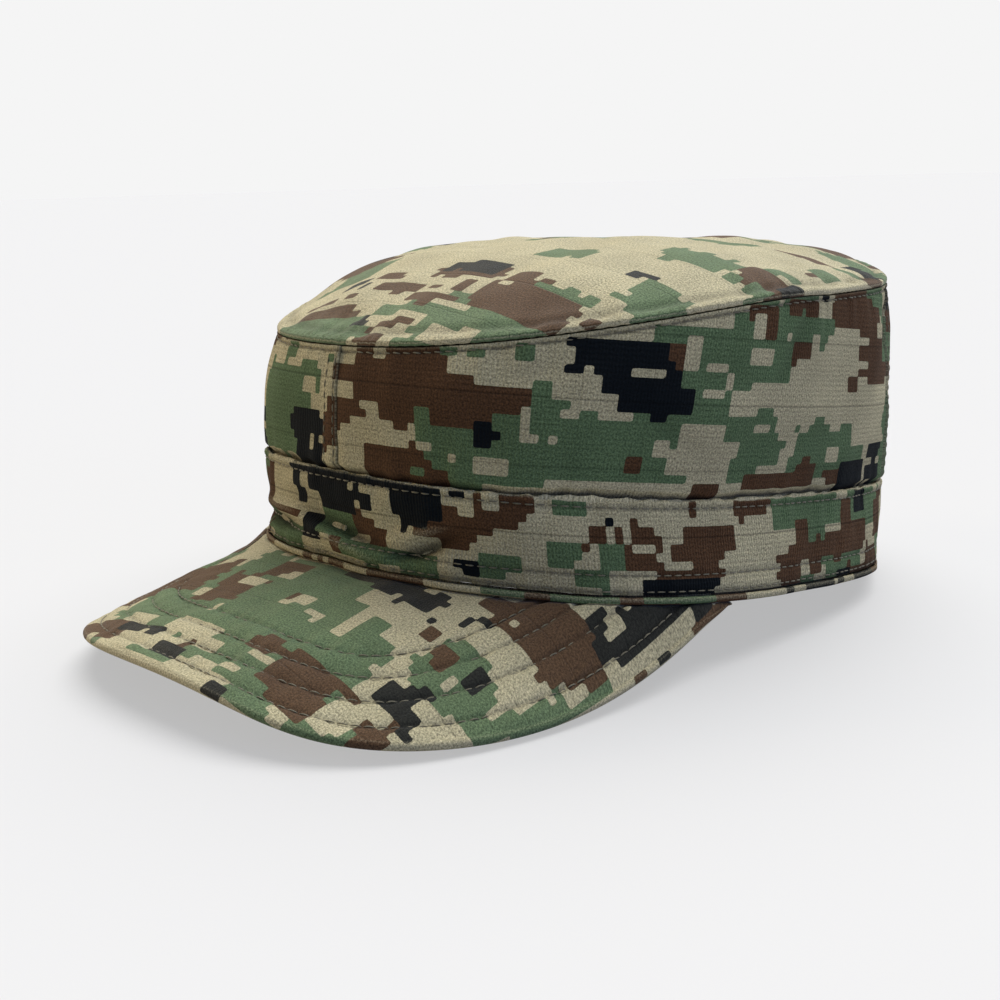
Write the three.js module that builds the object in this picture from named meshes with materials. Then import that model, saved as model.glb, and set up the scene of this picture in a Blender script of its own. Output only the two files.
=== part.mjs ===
// A patrol cap: a soft cotton cap with an oval crown, a folded band round its foot and a stitched peak.
// Each piece of cloth is a thin closed shell of its own, laid next to its neighbours as they are sewn.
//
// The shapes are worked out in the cap's own level frame: millimetres, +Z up, the wearer faces -Y,
// +X is the wearer's left, and z = 0 is the plane of the cap's lower edge. At the end the whole cap
// is leaned back until it stands on its peak and on the back of its lower edge, as it does on a table.
import * as THREE from 'three';

// Outline of the lower edge, seen from above
const ringHalfLength = 99;
const ringHalfWidth = 87;
const ringSquareness = 2.47;

// Outline of the top of the band
const bandHalfLength = 102;
const bandHalfWidth = 82.5;
const bandHeight = 27;

// Outline and height of the seam round the top of the crown
const seamHalfLength = 98;
const seamHalfWidth = 87;
const seamSquareness = 2.1;
const seamForward = 4.4;
const seamHeightFront = 61;
const seamHeightSide = 83;
const seamHeightBack = 98;

// Rise of the stuffed top above its seam, and swell of the crown wall between band and seam
const topRise = 16;
const wallSwell = 1.5;

// Cloth: the crown is one lined layer, the band is folded double, the peak is board between two layers
const clothThickness = 1.5;
const bandThickness = 1.6;
const peakThickness = 2.6;
const bindingHeight = 2.4;
const sewnGap = 0.3;

// The two back seams of the crown wall, measured round the cap from the middle of the front
const backSeamDegrees = 120;

// Peak: reach ahead of the lower edge, half width, the line its sides start from, and how it falls.
// Its right side sags a little more than the left, most at peakSagPlace ahead of the lower edge.
const peakReach = 58;
const peakHalfWidth = 84.6;
const peakSideStart = 45.3;
const peakSquareness = 2.94;
const peakSlope = 0.272;
const peakBow = 0.0097;
const peakLap = 3;
const peakSideDrop = 7.2;
const peakSideDropRun = 21.3;
const peakSideDropPower = 2.49;
const peakSag = 3.4;
const peakSagPlace = 12;

// Depth of the deepest dent in the cloth
const dentDepth = 4;

// Dents in the wall: place round the cap, place up the wall, reach both ways and depth.
// Heights are shares of the wall's height there, depths are shares of dentDepth, outwards is negative.
const wallDents = [
  { name: 'waist at the right temple', degrees: -52, height: 0.2, spread: 24, rise: 0.22, depth: 0.8 },
  { name: 'crease over the peak', degrees: 4, height: 0.24, spread: 17, rise: 0.07, depth: 0.35 },
  { name: 'roll under that crease', degrees: 8, height: 0.12, spread: 20, rise: 0.06, depth: -0.25 },
  { name: 'dimple left of the peak', degrees: 24, height: 0.2, spread: 9, rise: 0.08, depth: 0.3 },
  { name: 'hollow at the front seam', degrees: 0, height: 0.62, spread: 10, rise: 0.22, depth: 0.25 },
  { name: 'puff at the back corner', degrees: 133, height: 0.84, spread: 13, rise: 0.13, depth: -0.45 },
  { name: 'fold beside that puff', degrees: 119, height: 0.88, spread: 6, rise: 0.12, depth: 0.45 },
  { name: 'fullness behind the left ear', degrees: 105, height: 0.5, spread: 20, rise: 0.16, depth: -0.3 },
  { name: 'sag at the back', degrees: 182, height: 0.55, spread: 26, rise: 0.2, depth: 0.5 },
  { name: 'fullness behind the right ear', degrees: 240, height: 0.5, spread: 20, rise: 0.18, depth: -0.4 },
];

// Dents in the top: place round the cap, distance from the middle as a share of the radius, and reach
const topDents = [
  { name: 'dip behind the front seam', degrees: -8, radius: 0.9, spread: 16, reach: 0.09, depth: 0.4 },
  { name: 'fullness at the right front', degrees: -55, radius: 0.7, spread: 35, reach: 0.2, depth: -0.3 },
  { name: 'ripple at the left back', degrees: 112, radius: 0.86, spread: 10, reach: 0.08, depth: 0.35 },
  { name: 'fullness behind that ripple', degrees: 134, radius: 0.82, spread: 11, reach: 0.12, depth: -0.45 },
  { name: 'slack at the back', degrees: 200, radius: 0.7, spread: 30, reach: 0.2, depth: 0.4 },
];

// Places where the top seam itself sinks or rises
const seamDents = [
  { name: 'sunk right front', degrees: -50, spread: 30, depth: 1.1 },
  { name: 'raised back', degrees: 170, spread: 30, depth: -0.3 },
];

// Fineness of the faceted shells
const degreesPerStep = 5;
const bandRows = 4;
const wallRows = 7;
const topRings = 7;
const peakSteps = 30;
const peakRows = 6;

const radians = THREE.MathUtils.degToRad;

function signedPower(value, power) {
  return Math.sign(value) * Math.abs(value) ** power;
}

// Point of a rounded oblong at an angle measured from the front towards the wearer's left
function oblong(angle, halfLength, halfWidth, squareness) {
  return {
    x: halfWidth * signedPower(Math.sin(angle), 2 / squareness),
    y: -halfLength * signedPower(Math.cos(angle), 2 / squareness),
  };
}

function smoothStep(value) {
  const t = THREE.MathUtils.clamp(value, 0, 1);
  return t * t * (3 - 2 * t);
}

// How far round the cap two angles lie apart, in degrees
function degreesApart(angle, degrees) {
  const apart = THREE.MathUtils.euclideanModulo(THREE.MathUtils.radToDeg(angle) - degrees, 360);
  return Math.min(apart, 360 - apart);
}

function bell(distance, reach) {
  return Math.exp(-((distance / reach) ** 2));
}

function wallDent(angle, heightShare) {
  let depth = 0;
  for (const dent of wallDents) {
    const across = bell(degreesApart(angle, dent.degrees), dent.spread);
    const up = bell(heightShare - dent.height, dent.rise);
    depth += dentDepth * dent.depth * across * up;
  }
  return depth;
}

// The top keeps its height where it meets the seam
function topDent(angle, radiusShare) {
  const awayFromSeam = smoothStep((1 - radiusShare) / 0.15);
  let depth = 0;
  for (const dent of topDents) {
    const across = bell(degreesApart(angle, dent.degrees), dent.spread);
    const out = bell(radiusShare - dent.radius, dent.reach);
    depth += dentDepth * dent.depth * across * out * awayFromSeam;
  }
  return depth;
}

// Height of the top seam: lowest at the front, highest at the back
function seamHeight(angle) {
  const front = Math.cos(angle);
  const frontShare = Math.max(front, 0) ** 1.3;
  const backShare = Math.max(-front, 0);
  const rise = (seamHeightFront - seamHeightSide) * frontShare + (seamHeightBack - seamHeightSide) * backShare;
  let height = seamHeightSide + rise;
  for (const dent of seamDents) {
    height -= dentDepth * dent.depth * bell(degreesApart(angle, dent.degrees), dent.spread);
  }
  return height;
}

// A level is 0 at the lower edge, 1 at the top of the band and 2 at the top seam.
// The inset is the distance in from the outside of the cap.
function wallPoint(angle, level, inset) {
  const up = Math.min(level, 1);
  const crown = Math.max(level - 1, 0);
  const top = seamHeight(angle);
  const z = level <= 1 ? level * bandHeight : bandHeight + crown * (top - bandHeight);
  const swell = wallSwell * Math.sin(Math.PI * crown ** 1.4);
  const inwards = inset + wallDent(angle, z / top) * (1 - smoothStep((crown - 0.85) / 0.15));
  const lower = THREE.MathUtils.lerp(ringHalfLength, bandHalfLength, up);
  const lowerWidth = THREE.MathUtils.lerp(ringHalfWidth, bandHalfWidth, up);
  const point = oblong(
    angle,
    THREE.MathUtils.lerp(lower, seamHalfLength, crown) + swell - inwards,
    THREE.MathUtils.lerp(lowerWidth, seamHalfWidth, crown) + swell - inwards,
    THREE.MathUtils.lerp(ringSquareness, seamSquareness, crown),
  );
  return new THREE.Vector3(point.x, point.y - seamForward * crown, z);
}

// The crown wall runs down inside the band, and swells out to the band's face just above it
function crownInset(level) {
  return (bandThickness + sewnGap) * (1 - smoothStep((level - 1) / 0.3));
}

function topPoint(angle, radiusShare) {
  const rim = wallPoint(angle, 2, 0);
  const middleHeight = (seamHeightFront + seamHeightBack) / 2;
  const fromRim = radiusShare ** 1.5;
  const dome = topRise * (1 - radiusShare ** 3) - topDent(angle, radiusShare);
  return new THREE.Vector3(
    rim.x * radiusShare,
    (rim.y + seamForward) * radiusShare - seamForward,
    rim.z * fromRim + middleHeight * (1 - fromRim) + dome + sewnGap + clothThickness,
  );
}

// Front line of the cap's lower edge: its distance forward at a distance to the side
function ringForward(x) {
  const share = Math.min(Math.abs(x) / ringHalfWidth, 1);
  return ringHalfLength * (1 - share ** ringSquareness) ** (1 / ringSquareness);
}

function peakHeight(x, forward) {
  const out = Math.max(forward - ringForward(x), 0);
  const side = Math.abs(x / peakHalfWidth) ** peakSideDropPower;
  const fall = peakSlope * out + peakBow * out * out / 10;
  const sagShare = out / peakSagPlace * Math.exp(1 - out / peakSagPlace);
  const sag = x < 0 ? peakSag * sagShare * (x / peakHalfWidth) ** 2 : 0;
  return -sewnGap - fall - sag - peakSideDrop * side * (1 - Math.exp(-out / peakSideDropRun));
}

// The peak's outer edge, as an angle round an oblong that starts at the middle of the front
function peakEdge(turn) {
  const reach = ringHalfLength + peakReach - peakSideStart;
  const point = oblong(turn, reach, peakHalfWidth, peakSquareness);
  return { x: point.x, forward: peakSideStart - point.y };
}

// How far out a place lies, as a share of the lower edge's outline: 1 is on the outline itself
function ringShare(x, forward) {
  return Math.abs(x / ringHalfWidth) ** ringSquareness + Math.abs(forward / ringHalfLength) ** ringSquareness;
}

// The angle of the lower edge's point nearest to a place just outside it
function ringAngle(x, forward) {
  const across = signedPower(x / ringHalfWidth, ringSquareness / 2);
  return Math.atan2(across, signedPower(forward / ringHalfLength, ringSquareness / 2));
}

// The turn at which the peak's outer edge comes back to the cap's lower edge
function peakEndTurn() {
  let low = Math.PI / 4;
  let high = Math.PI;
  for (let step = 0; step < 40; step += 1) {
    const middle = (low + high) / 2;
    const edge = peakEdge(middle);
    if (ringShare(edge.x, edge.forward) > 1) {
      low = middle;
    } else {
      high = middle;
    }
  }
  return low;
}

// A closed mesh through a row of closed loops. Each loop runs along the outside and back along the
// inside, so the ends of an open row are closed by strips between the two.
function loft(loops, endless) {
  const size = loops[0].length;
  const corners = [];
  const count = endless ? loops.length : loops.length - 1;
  for (let i = 0; i < count; i += 1) {
    const here = i * size;
    const next = ((i + 1) % loops.length) * size;
    for (let j = 0; j < size; j += 1) {
      const k = (j + 1) % size;
      corners.push(here + j, next + j, next + k, here + j, next + k, here + k);
    }
  }
  if (!endless) {
    const last = (loops.length - 1) * size;
    for (let j = 0; j < size / 2 - 1; j += 1) {
      const across = size - 1 - j;
      corners.push(j, j + 1, across - 1, j, across - 1, across);
      corners.push(last + j + 1, last + j, last + across, last + j + 1, last + across, last + across - 1);
    }
  }
  return closedGeometry(loops.flat(), corners);
}

// A closed mesh of two domes, one over the other, each given as rings from the rim inwards and a middle
function doubleDome(upper, lower) {
  const size = upper.rings[0].length;
  const points = [upper.middle, lower.middle];
  for (const ring of [...upper.rings, ...lower.rings]) {
    points.push(...ring);
  }
  const upperStart = 2;
  const lowerStart = upperStart + upper.rings.length * size;
  const corners = [];
  for (let i = 0; i < size; i += 1) {
    const k = (i + 1) % size;
    for (let ring = 0; ring < upper.rings.length - 1; ring += 1) {
      const a = upperStart + ring * size;
      const b = lowerStart + ring * size;
      corners.push(a + i, a + k, a + size + k, a + i, a + size + k, a + size + i);
      corners.push(b + i, b + size + k, b + k, b + i, b + size + i, b + size + k);
    }
    const upperEnd = lowerStart - size;
    const lowerEnd = points.length - size;
    corners.push(upperEnd + i, upperEnd + k, 0, lowerEnd + k, lowerEnd + i, 1);
    corners.push(lowerStart + i, lowerStart + k, upperStart + k, lowerStart + i, upperStart + k, upperStart + i);
  }
  return closedGeometry(points, corners);
}

// Turns every face outwards, judged by the sign of the volume that the faces close in
function closedGeometry(points, corners) {
  let volume = 0;
  for (let c = 0; c < corners.length; c += 3) {
    const [a, b, d] = [points[corners[c]], points[corners[c + 1]], points[corners[c + 2]]];
    volume += a.dot(new THREE.Vector3().crossVectors(b, d));
  }
  const geometry = new THREE.BufferGeometry().setFromPoints(points);
  geometry.setIndex(volume < 0 ? corners.reverse() : corners);
  geometry.computeVertexNormals();
  return geometry;
}

function piece(name, geometry, material) {
  const mesh = new THREE.Mesh(geometry, material);
  mesh.name = name;
  return mesh;
}

// Angles from one place to another in even steps, both ends held back by half of the sewn gap
function anglesBetween(fromDegrees, toDegrees) {
  const holdBack = sewnGap / 2 / ringHalfLength;
  const steps = Math.round((toDegrees - fromDegrees) / degreesPerStep);
  const angles = [];
  for (let step = 0; step <= steps; step += 1) {
    angles.push(radians(THREE.MathUtils.lerp(fromDegrees, toDegrees, step / steps)));
  }
  angles[0] += holdBack;
  angles[steps] -= holdBack;
  return angles;
}

function anglesAround() {
  const steps = Math.round(360 / degreesPerStep);
  return Array.from({ length: steps }, (_, step) => radians(step * 360 / steps));
}

// The levels of the rows that the band and the crown wall share, from the top of the binding up
function bandLevels() {
  const lowest = (bindingHeight + sewnGap) / bandHeight;
  return Array.from({ length: bandRows + 1 }, (_, row) => THREE.MathUtils.lerp(lowest, 1, row / bandRows));
}

function crownLevels() {
  const upper = Array.from({ length: wallRows }, (_, row) => 1 + (row + 1) / wallRows);
  return [...bandLevels(), ...upper];
}

function wallPanel(fromDegrees, toDegrees) {
  const levels = crownLevels();
  const loops = anglesBetween(fromDegrees, toDegrees).map((angle) => {
    const outside = levels.map((level) => wallPoint(angle, level, crownInset(level)));
    const inside = levels.map((level) => wallPoint(angle, level, crownInset(level) + clothThickness));
    return [...outside, ...inside.reverse()];
  });
  return loft(loops, false);
}

function band() {
  const levels = bandLevels();
  const loops = anglesAround().map((angle) => {
    const outside = levels.map((level) => wallPoint(angle, level, 0));
    const inside = levels.map((level) => wallPoint(angle, level, bandThickness));
    return [...outside, ...inside.reverse()];
  });
  return loft(loops, true);
}

// The rolled binding under the band and the crown wall, as wide as both of them
function edgeBinding() {
  const width = bandThickness + sewnGap + clothThickness;
  const corner = bindingHeight * 0.3;
  const section = [
    [0, corner],
    [0, bindingHeight - corner],
    [corner, bindingHeight],
    [width - corner, bindingHeight],
    [width, bindingHeight - corner],
    [width, corner],
    [width - corner, 0],
    [corner, 0],
  ];
  const loops = anglesAround().map((angle) => section.map(([inset, height]) => {
    return wallPoint(angle, height / bandHeight, inset);
  }));
  return loft(loops, true);
}

function topPanel() {
  const angles = anglesAround();
  const shares = Array.from({ length: topRings }, (_, ring) => Math.cos(Math.PI / 2 * ring / topRings));
  const down = new THREE.Vector3(0, 0, -clothThickness);
  const rings = shares.map((share) => angles.map((angle) => topPoint(angle, share)));
  const middle = topPoint(0, 0);
  return doubleDome(
    { rings, middle },
    { rings: rings.map((ring) => ring.map((point) => point.clone().add(down))), middle: middle.clone().add(down) },
  );
}

function peak() {
  const endTurn = peakEndTurn();
  const end = peakEdge(endTurn);
  const endAngle = ringAngle(end.x, end.forward);
  const loops = [];
  for (let step = 0; step <= peakSteps; step += 1) {
    const share = 2 * step / peakSteps - 1;
    const outer = peakEdge(share * endTurn);
    const inner = oblong(share * endAngle, ringHalfLength - peakLap, ringHalfWidth - peakLap, ringSquareness);
    const upper = [];
    for (let row = 0; row <= peakRows; row += 1) {
      const x = THREE.MathUtils.lerp(inner.x, outer.x, row / peakRows);
      const forward = THREE.MathUtils.lerp(-inner.y, outer.forward, row / peakRows);
      upper.push(new THREE.Vector3(x, -forward, peakHeight(x, forward)));
    }
    const lower = upper.map((point) => point.clone().setZ(point.z - peakThickness));
    loops.push([...upper, ...lower.reverse()]);
  }
  return loft(loops, false);
}

// Leans the cap back until the peak and the back of the lower edge touch the same level surface
function restingLean(meshes) {
  const points = meshes.flatMap((mesh) => {
    const positions = mesh.geometry.getAttribute('position');
    return Array.from({ length: positions.count }, (_, i) => new THREE.Vector3().fromBufferAttribute(positions, i));
  });
  let lean = 0;
  for (let pass = 0; pass < 5; pass += 1) {
    const height = (point) => point.z * Math.cos(lean) - point.y * Math.sin(lean);
    const lowest = (group) => group.reduce((a, b) => (height(b) < height(a) ? b : a));
    const front = lowest(points.filter((point) => point.y < 0));
    const back = lowest(points.filter((point) => point.y > 0));
    lean = Math.atan2(back.z - front.z, back.y - front.y);
  }
  return lean;
}

const outerCloth = new THREE.MeshStandardMaterial({ color: '#7d7a5c', roughness: 0.9, metalness: 0 });
const topCloth = new THREE.MeshStandardMaterial({ color: '#a39a78', roughness: 0.9, metalness: 0 });
const bandCloth = new THREE.MeshStandardMaterial({ color: '#6b6650', roughness: 0.9, metalness: 0 });
const peakCloth = new THREE.MeshStandardMaterial({ color: '#75805c', roughness: 0.88, metalness: 0 });
const bindingCloth = new THREE.MeshStandardMaterial({ color: '#8a8468', roughness: 0.9, metalness: 0 });

const cap = new THREE.Group();
cap.add(
  piece('top_panel', topPanel(), topCloth),
  piece('side_panel_left', wallPanel(0, backSeamDegrees), outerCloth),
  piece('side_panel_right', wallPanel(-backSeamDegrees, 0), outerCloth),
  piece('back_panel', wallPanel(backSeamDegrees, 360 - backSeamDegrees), outerCloth),
  piece('band', band(), bandCloth),
  piece('edge_binding', edgeBinding(), bindingCloth),
  piece('peak', peak(), peakCloth),
);

// At rest on a surface, with the middle of its footprint over the origin
cap.rotation.x = -restingLean(cap.children);
const object = new THREE.Group();
object.add(cap);
const box = new THREE.Box3().setFromObject(object, true);
cap.position.set(-(box.min.x + box.max.x) / 2, -(box.min.y + box.max.y) / 2, -box.min.z);

export default object;
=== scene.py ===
# %% [markdown]
# # A patrol cap in ripstop camouflage cloth
# A patrol cap is sewn from a few flat pieces of thin cotton and nylon cloth: a round top, a crown
# wall in three panels, a folded band, a rolled binding and a stitched peak with board inside.
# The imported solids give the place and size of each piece. This lesson lays finer cloth where those
# solids are, prints it, sews it with real thread shapes and lights it as in a plain studio.
# The solids are loaded first, because every later piece is checked against their box.

# %% Load the solids
import math

import bpy
import numpy as np
from mathutils import Matrix, Vector


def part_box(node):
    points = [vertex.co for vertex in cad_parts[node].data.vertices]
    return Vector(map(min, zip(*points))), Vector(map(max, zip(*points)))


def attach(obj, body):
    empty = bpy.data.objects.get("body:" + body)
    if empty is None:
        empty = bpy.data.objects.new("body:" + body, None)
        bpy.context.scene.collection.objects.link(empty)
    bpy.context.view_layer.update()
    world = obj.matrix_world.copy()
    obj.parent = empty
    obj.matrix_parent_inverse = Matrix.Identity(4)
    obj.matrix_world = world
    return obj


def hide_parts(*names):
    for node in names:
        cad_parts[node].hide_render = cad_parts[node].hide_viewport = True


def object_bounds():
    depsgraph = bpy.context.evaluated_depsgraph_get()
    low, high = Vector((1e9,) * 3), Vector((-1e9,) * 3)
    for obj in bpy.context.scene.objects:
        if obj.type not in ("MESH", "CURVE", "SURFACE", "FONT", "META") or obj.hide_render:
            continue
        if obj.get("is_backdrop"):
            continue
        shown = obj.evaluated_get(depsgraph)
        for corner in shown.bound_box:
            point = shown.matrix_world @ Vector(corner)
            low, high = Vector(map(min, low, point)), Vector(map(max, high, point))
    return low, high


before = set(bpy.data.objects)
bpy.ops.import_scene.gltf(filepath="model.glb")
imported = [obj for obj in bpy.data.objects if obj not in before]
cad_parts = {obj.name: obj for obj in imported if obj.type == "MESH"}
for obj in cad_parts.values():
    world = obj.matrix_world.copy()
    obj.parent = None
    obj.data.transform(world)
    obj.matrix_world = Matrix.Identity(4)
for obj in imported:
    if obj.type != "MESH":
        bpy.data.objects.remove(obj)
solid_low, solid_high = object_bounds()
print("solids:", ", ".join(sorted(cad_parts)))
print("size in mm:", [round(1000 * side, 1) for side in solid_high - solid_low])

# %% [markdown]
# ## Camera
# The cap is seen from its front left at 45 degrees and from slightly above, and it fills most of a
# square picture. The angles could be guessed and nudged, but they were worked out by fitting the
# cap's seams to where they lie in the view, so they are kept as they came out: a direction, a small
# roll of the camera, a distance and the point in the middle of the picture.

# %% Camera
view_azimuth, view_elevation, view_roll = math.radians(44.95), math.radians(13.1), math.radians(-1.63)
view_distance = 0.4485
view_middle = Vector((-0.0198, 0.0109, 0.0269))

view_back = Vector((
    math.sin(view_azimuth) * math.cos(view_elevation),
    -math.cos(view_azimuth) * math.cos(view_elevation),
    math.sin(view_elevation),
))
camera_data = bpy.data.cameras.new("view")
camera_data.lens = 49.44
camera = bpy.data.objects.new("view", camera_data)
camera.location = view_middle + view_back * view_distance
camera.rotation_mode = "QUATERNION"
level_turn = (-view_back).to_track_quat("-Z", "Y").to_matrix()
camera.rotation_quaternion = (Matrix.Rotation(view_roll, 3, view_back) @ level_turn).to_quaternion()
bpy.context.scene.collection.objects.link(camera)
bpy.context.scene.camera = camera
print("camera at", [round(x, 3) for x in camera.location])

# %% [markdown]
# ## Colours and nodes
# Paint and dye colours are easiest to name as sRGB hex values, while a renderer adds up light in
# linear numbers, so one function turns the first into the second. One more small function adds a
# shader node, gives it its settings and joins it up, which keeps each material readable.

# %% Helpers for colours and nodes
def linear(hex_colour):
    """An sRGB hex colour as linear red, green, blue and alpha."""
    shares = [int(hex_colour[i:i + 2], 16) / 255 for i in (1, 3, 5)]
    return [s / 12.92 if s <= 0.04045 else ((s + 0.055) / 1.055) ** 2.4 for s in shares] + [1.0]


def add(tree, kind, inputs=None, **settings):
    """Adds a node with its settings. Each input is a value, or a socket or node that it is linked to."""
    node = tree.nodes.new(kind)
    for field, value in settings.items():
        setattr(node, field, value)
    for key, value in (inputs or {}).items():
        named = [s for s in node.inputs if s.enabled and s.name == key]
        socket = named[0] if named else node.inputs[key]
        if isinstance(value, bpy.types.Node):
            value = next(s for s in value.outputs if s.enabled)
        if isinstance(value, bpy.types.NodeSocket):
            tree.links.new(value, socket)
        else:
            socket.default_value = value
    return node


print("mid grey in linear numbers:", round(linear("#808080")[0], 3))

# %% [markdown]
# ## Floor and light
# The cap stands on a plain pale table in a white room. Its top is about twice as bright as its wall,
# and the peak lies between the two, so most of the light comes from one wide source above and a
# little behind. A weak warm lamp low on the left lifts the front of the wall, and a cool one low on
# the right stands for the room. A few small lamps would draw hard shadows, and lamps near by would
# light the table unevenly, so all three are sun lamps, each as wide as a patch of clouded sky. The
# table that the camera sees is partly its own glow, so shadows on it stay pale. The table that the
# cap sees is plain grey, so it throws less light up under the peak. The room is seen in the table's
# tone, so no line shows where the two meet. The Standard view keeps the pale table pale, where the
# default view would turn it grey.

# %% Floor and light
bpy.context.scene.view_settings.view_transform = "Standard"
room_tone = "#f5f5f5"
floor_paint = bpy.data.materials.new("pale_table")
floor_paint.use_nodes = True
paint_tree = floor_paint.node_tree
paint_tree.nodes.remove(paint_tree.nodes["Principled BSDF"])
paint_lit = add(paint_tree, "ShaderNodeBsdfDiffuse", {"Color": linear("#969594")})
paint_tone = add(paint_tree, "ShaderNodeEmission", {"Color": linear(room_tone), "Strength": 0.5})
paint_seen = add(paint_tree, "ShaderNodeAddShader", {0: paint_lit, 1: paint_tone})
paint_bounce = add(paint_tree, "ShaderNodeBsdfDiffuse", {"Color": linear("#a0a0a0")})
looked_at = add(paint_tree, "ShaderNodeLightPath").outputs["Is Camera Ray"]
paint_mix = add(paint_tree, "ShaderNodeMixShader", {0: looked_at, 1: paint_bounce, 2: paint_seen})
paint_tree.links.new(paint_mix.outputs[0], paint_tree.nodes["Material Output"].inputs["Surface"])
floor_mesh = bpy.data.meshes.new("floor")
floor_mesh.from_pydata([(-30, -30, 0), (30, -30, 0), (30, 30, 0), (-30, 30, 0)], [], [(0, 1, 2, 3)])
floor_mesh.materials.append(floor_paint)
floor = bpy.data.objects.new("floor", floor_mesh)
bpy.context.scene.collection.objects.link(floor)
floor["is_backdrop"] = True

room = bpy.data.worlds.new("white_room")
room.use_nodes = True
room_tree = room.node_tree
room_light = room_tree.nodes["Background"]
room_light.inputs["Color"].default_value = linear("#d3e1f6")
room_light.inputs["Strength"].default_value = 0.26
room_seen = add(room_tree, "ShaderNodeBackground", {"Color": linear(room_tone)})
seen_directly = add(room_tree, "ShaderNodeLightPath").outputs["Is Camera Ray"]
room_mix = add(room_tree, "ShaderNodeMixShader", {0: seen_directly, 1: room_light, 2: room_seen})
room_tree.links.new(room_mix.outputs[0], room_tree.nodes["World Output"].inputs["Surface"])
bpy.context.scene.world = room

lamps = [
    # name, direction that it shines from, angle across, strength, colour
    ("wide_sky", (-0.15, 0.54, 1.0), math.radians(68), 4.45, "#ffffff"),
    ("left_fill", (-1.0, -0.50, 0.08), math.radians(30), 1.80, "#ffe0ae"),
    ("cool_side", (1.0, 0.15, 0.06), math.radians(36), 0.80, "#80a2ff"),
]
for name, direction, across, strength, tint in lamps:
    lamp_data = bpy.data.lights.new(name, "SUN")
    lamp_data.energy, lamp_data.angle, lamp_data.color = strength, across, linear(tint)[:3]
    lamp = bpy.data.objects.new(name, lamp_data)
    lamp.rotation_euler = Vector(direction).to_track_quat("Z", "Y").to_euler()
    bpy.context.scene.collection.objects.link(lamp)
print("lamps:", [lamp[0] for lamp in lamps])

# %% [markdown]
# ## The shape of the cap
# Seen from above, the lower edge, the top of the band and the seam round the top are three rounded
# oblongs, and the crown wall runs from one to the next. The seam is low in front and high behind.
# Modelling each piece by hand would give a slightly different cap than the solids, so the same
# named sizes and formulas are used here, in millimetres, in the cap's own level frame: the wearer
# looks along -Y, +X is the wearer's left and z = 0 is the plane of the lower edge. Some dents in the
# top and its seam, and the near corner and inner edge of the peak, differ from the solids by up to
# 3 mm, because the cloth was corrected after the solids were closed. The last step leans the cap as
# it rests on the table.

# %% Named sizes, in mm and degrees
ring_half_length, ring_half_width, ring_squareness = 99.0, 87.0, 2.47
band_half_length, band_half_width, band_height = 102.0, 82.5, 27.0
seam_half_length, seam_half_width, seam_squareness, seam_forward = 98.0, 87.0, 2.1, 4.4
seam_height_front, seam_height_side, seam_height_back = 61.0, 83.0, 98.0
top_rise, wall_swell = 16.0, 1.5
cloth_thickness, band_thickness, peak_thickness, binding_height, sewn_gap = 1.5, 1.6, 2.6, 2.4, 0.3
back_seam_degrees = 120.0
peak_reach, peak_half_width, peak_side_start, peak_squareness = 58.0, 84.6, 45.3, 2.94
peak_slope, peak_bow = 0.272, 0.0097
peak_side_drop, peak_side_drop_run, peak_side_drop_power = 7.2, 21.3, 2.49
peak_sag, peak_sag_place = 3.4, 12.0
dent_depth = 4.0
rest_lean, rest_shift = math.radians(-7.548), np.array([0.0, 26.062, 12.910])

wall_dents = [
    # place round the cap, share of the height, reach round, reach up, depth as a share of dent_depth
    (-52, 0.20, 24, 0.22, 0.80),
    (4, 0.24, 17, 0.07, 0.35),
    (8, 0.12, 20, 0.06, -0.25),
    (24, 0.20, 9, 0.08, 0.30),
    (0, 0.62, 10, 0.22, 0.25),
    (133, 0.84, 13, 0.13, -0.45),
    (119, 0.88, 6, 0.12, 0.45),
    (105, 0.50, 20, 0.16, -0.30),
    (182, 0.55, 26, 0.20, 0.50),
    (240, 0.50, 20, 0.18, -0.40),
]
top_dents = [
    # place round the cap, share of the radius, reach round, reach out, depth
    (-10, 0.925, 13, 0.05, 0.55),
    (128, 0.94, 3, 0.06, 0.45),
    (-55, 0.70, 35, 0.20, -0.30),
    (112, 0.86, 10, 0.08, 0.35),
    (200, 0.70, 30, 0.20, 0.40),
]
seam_dents = [
    # place round the cap, reach round, how much lower the seam is as a share of dent_depth
    (-50, 30, 1.1),
    (170, 30, -0.3),
    (126, 26, 0.6),
]
print("dents in the wall and the top:", len(wall_dents), "and", len(top_dents))


# %% Surfaces of the crown
def signed_power(value, power):
    return np.sign(value) * np.abs(value) ** power


def smooth(value):
    share = np.clip(value, 0, 1)
    return share * share * (3 - 2 * share)


def bell(distance, reach):
    return np.exp(-(distance / reach) ** 2)


def apart(angle, degrees):
    """How far round the cap an angle lies from a place, in degrees."""
    turn = np.mod(np.degrees(angle) - degrees, 360)
    return np.minimum(turn, 360 - turn)


def oblong(angle, half_length, half_width, squareness):
    """Points of a rounded oblong at angles measured from the front towards the wearer's left."""
    return (half_width * signed_power(np.sin(angle), 2 / squareness),
            -half_length * signed_power(np.cos(angle), 2 / squareness))


def between(start, end, share):
    return start + (end - start) * share


def seam_height(angle):
    front = np.cos(angle)
    height = seam_height_side + (seam_height_front - seam_height_side) * np.maximum(front, 0) ** 1.3
    height = height + (seam_height_back - seam_height_side) * np.maximum(-front, 0)
    for degrees, spread, depth in seam_dents:
        height = height - dent_depth * depth * bell(apart(angle, degrees), spread)
    return height


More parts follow.
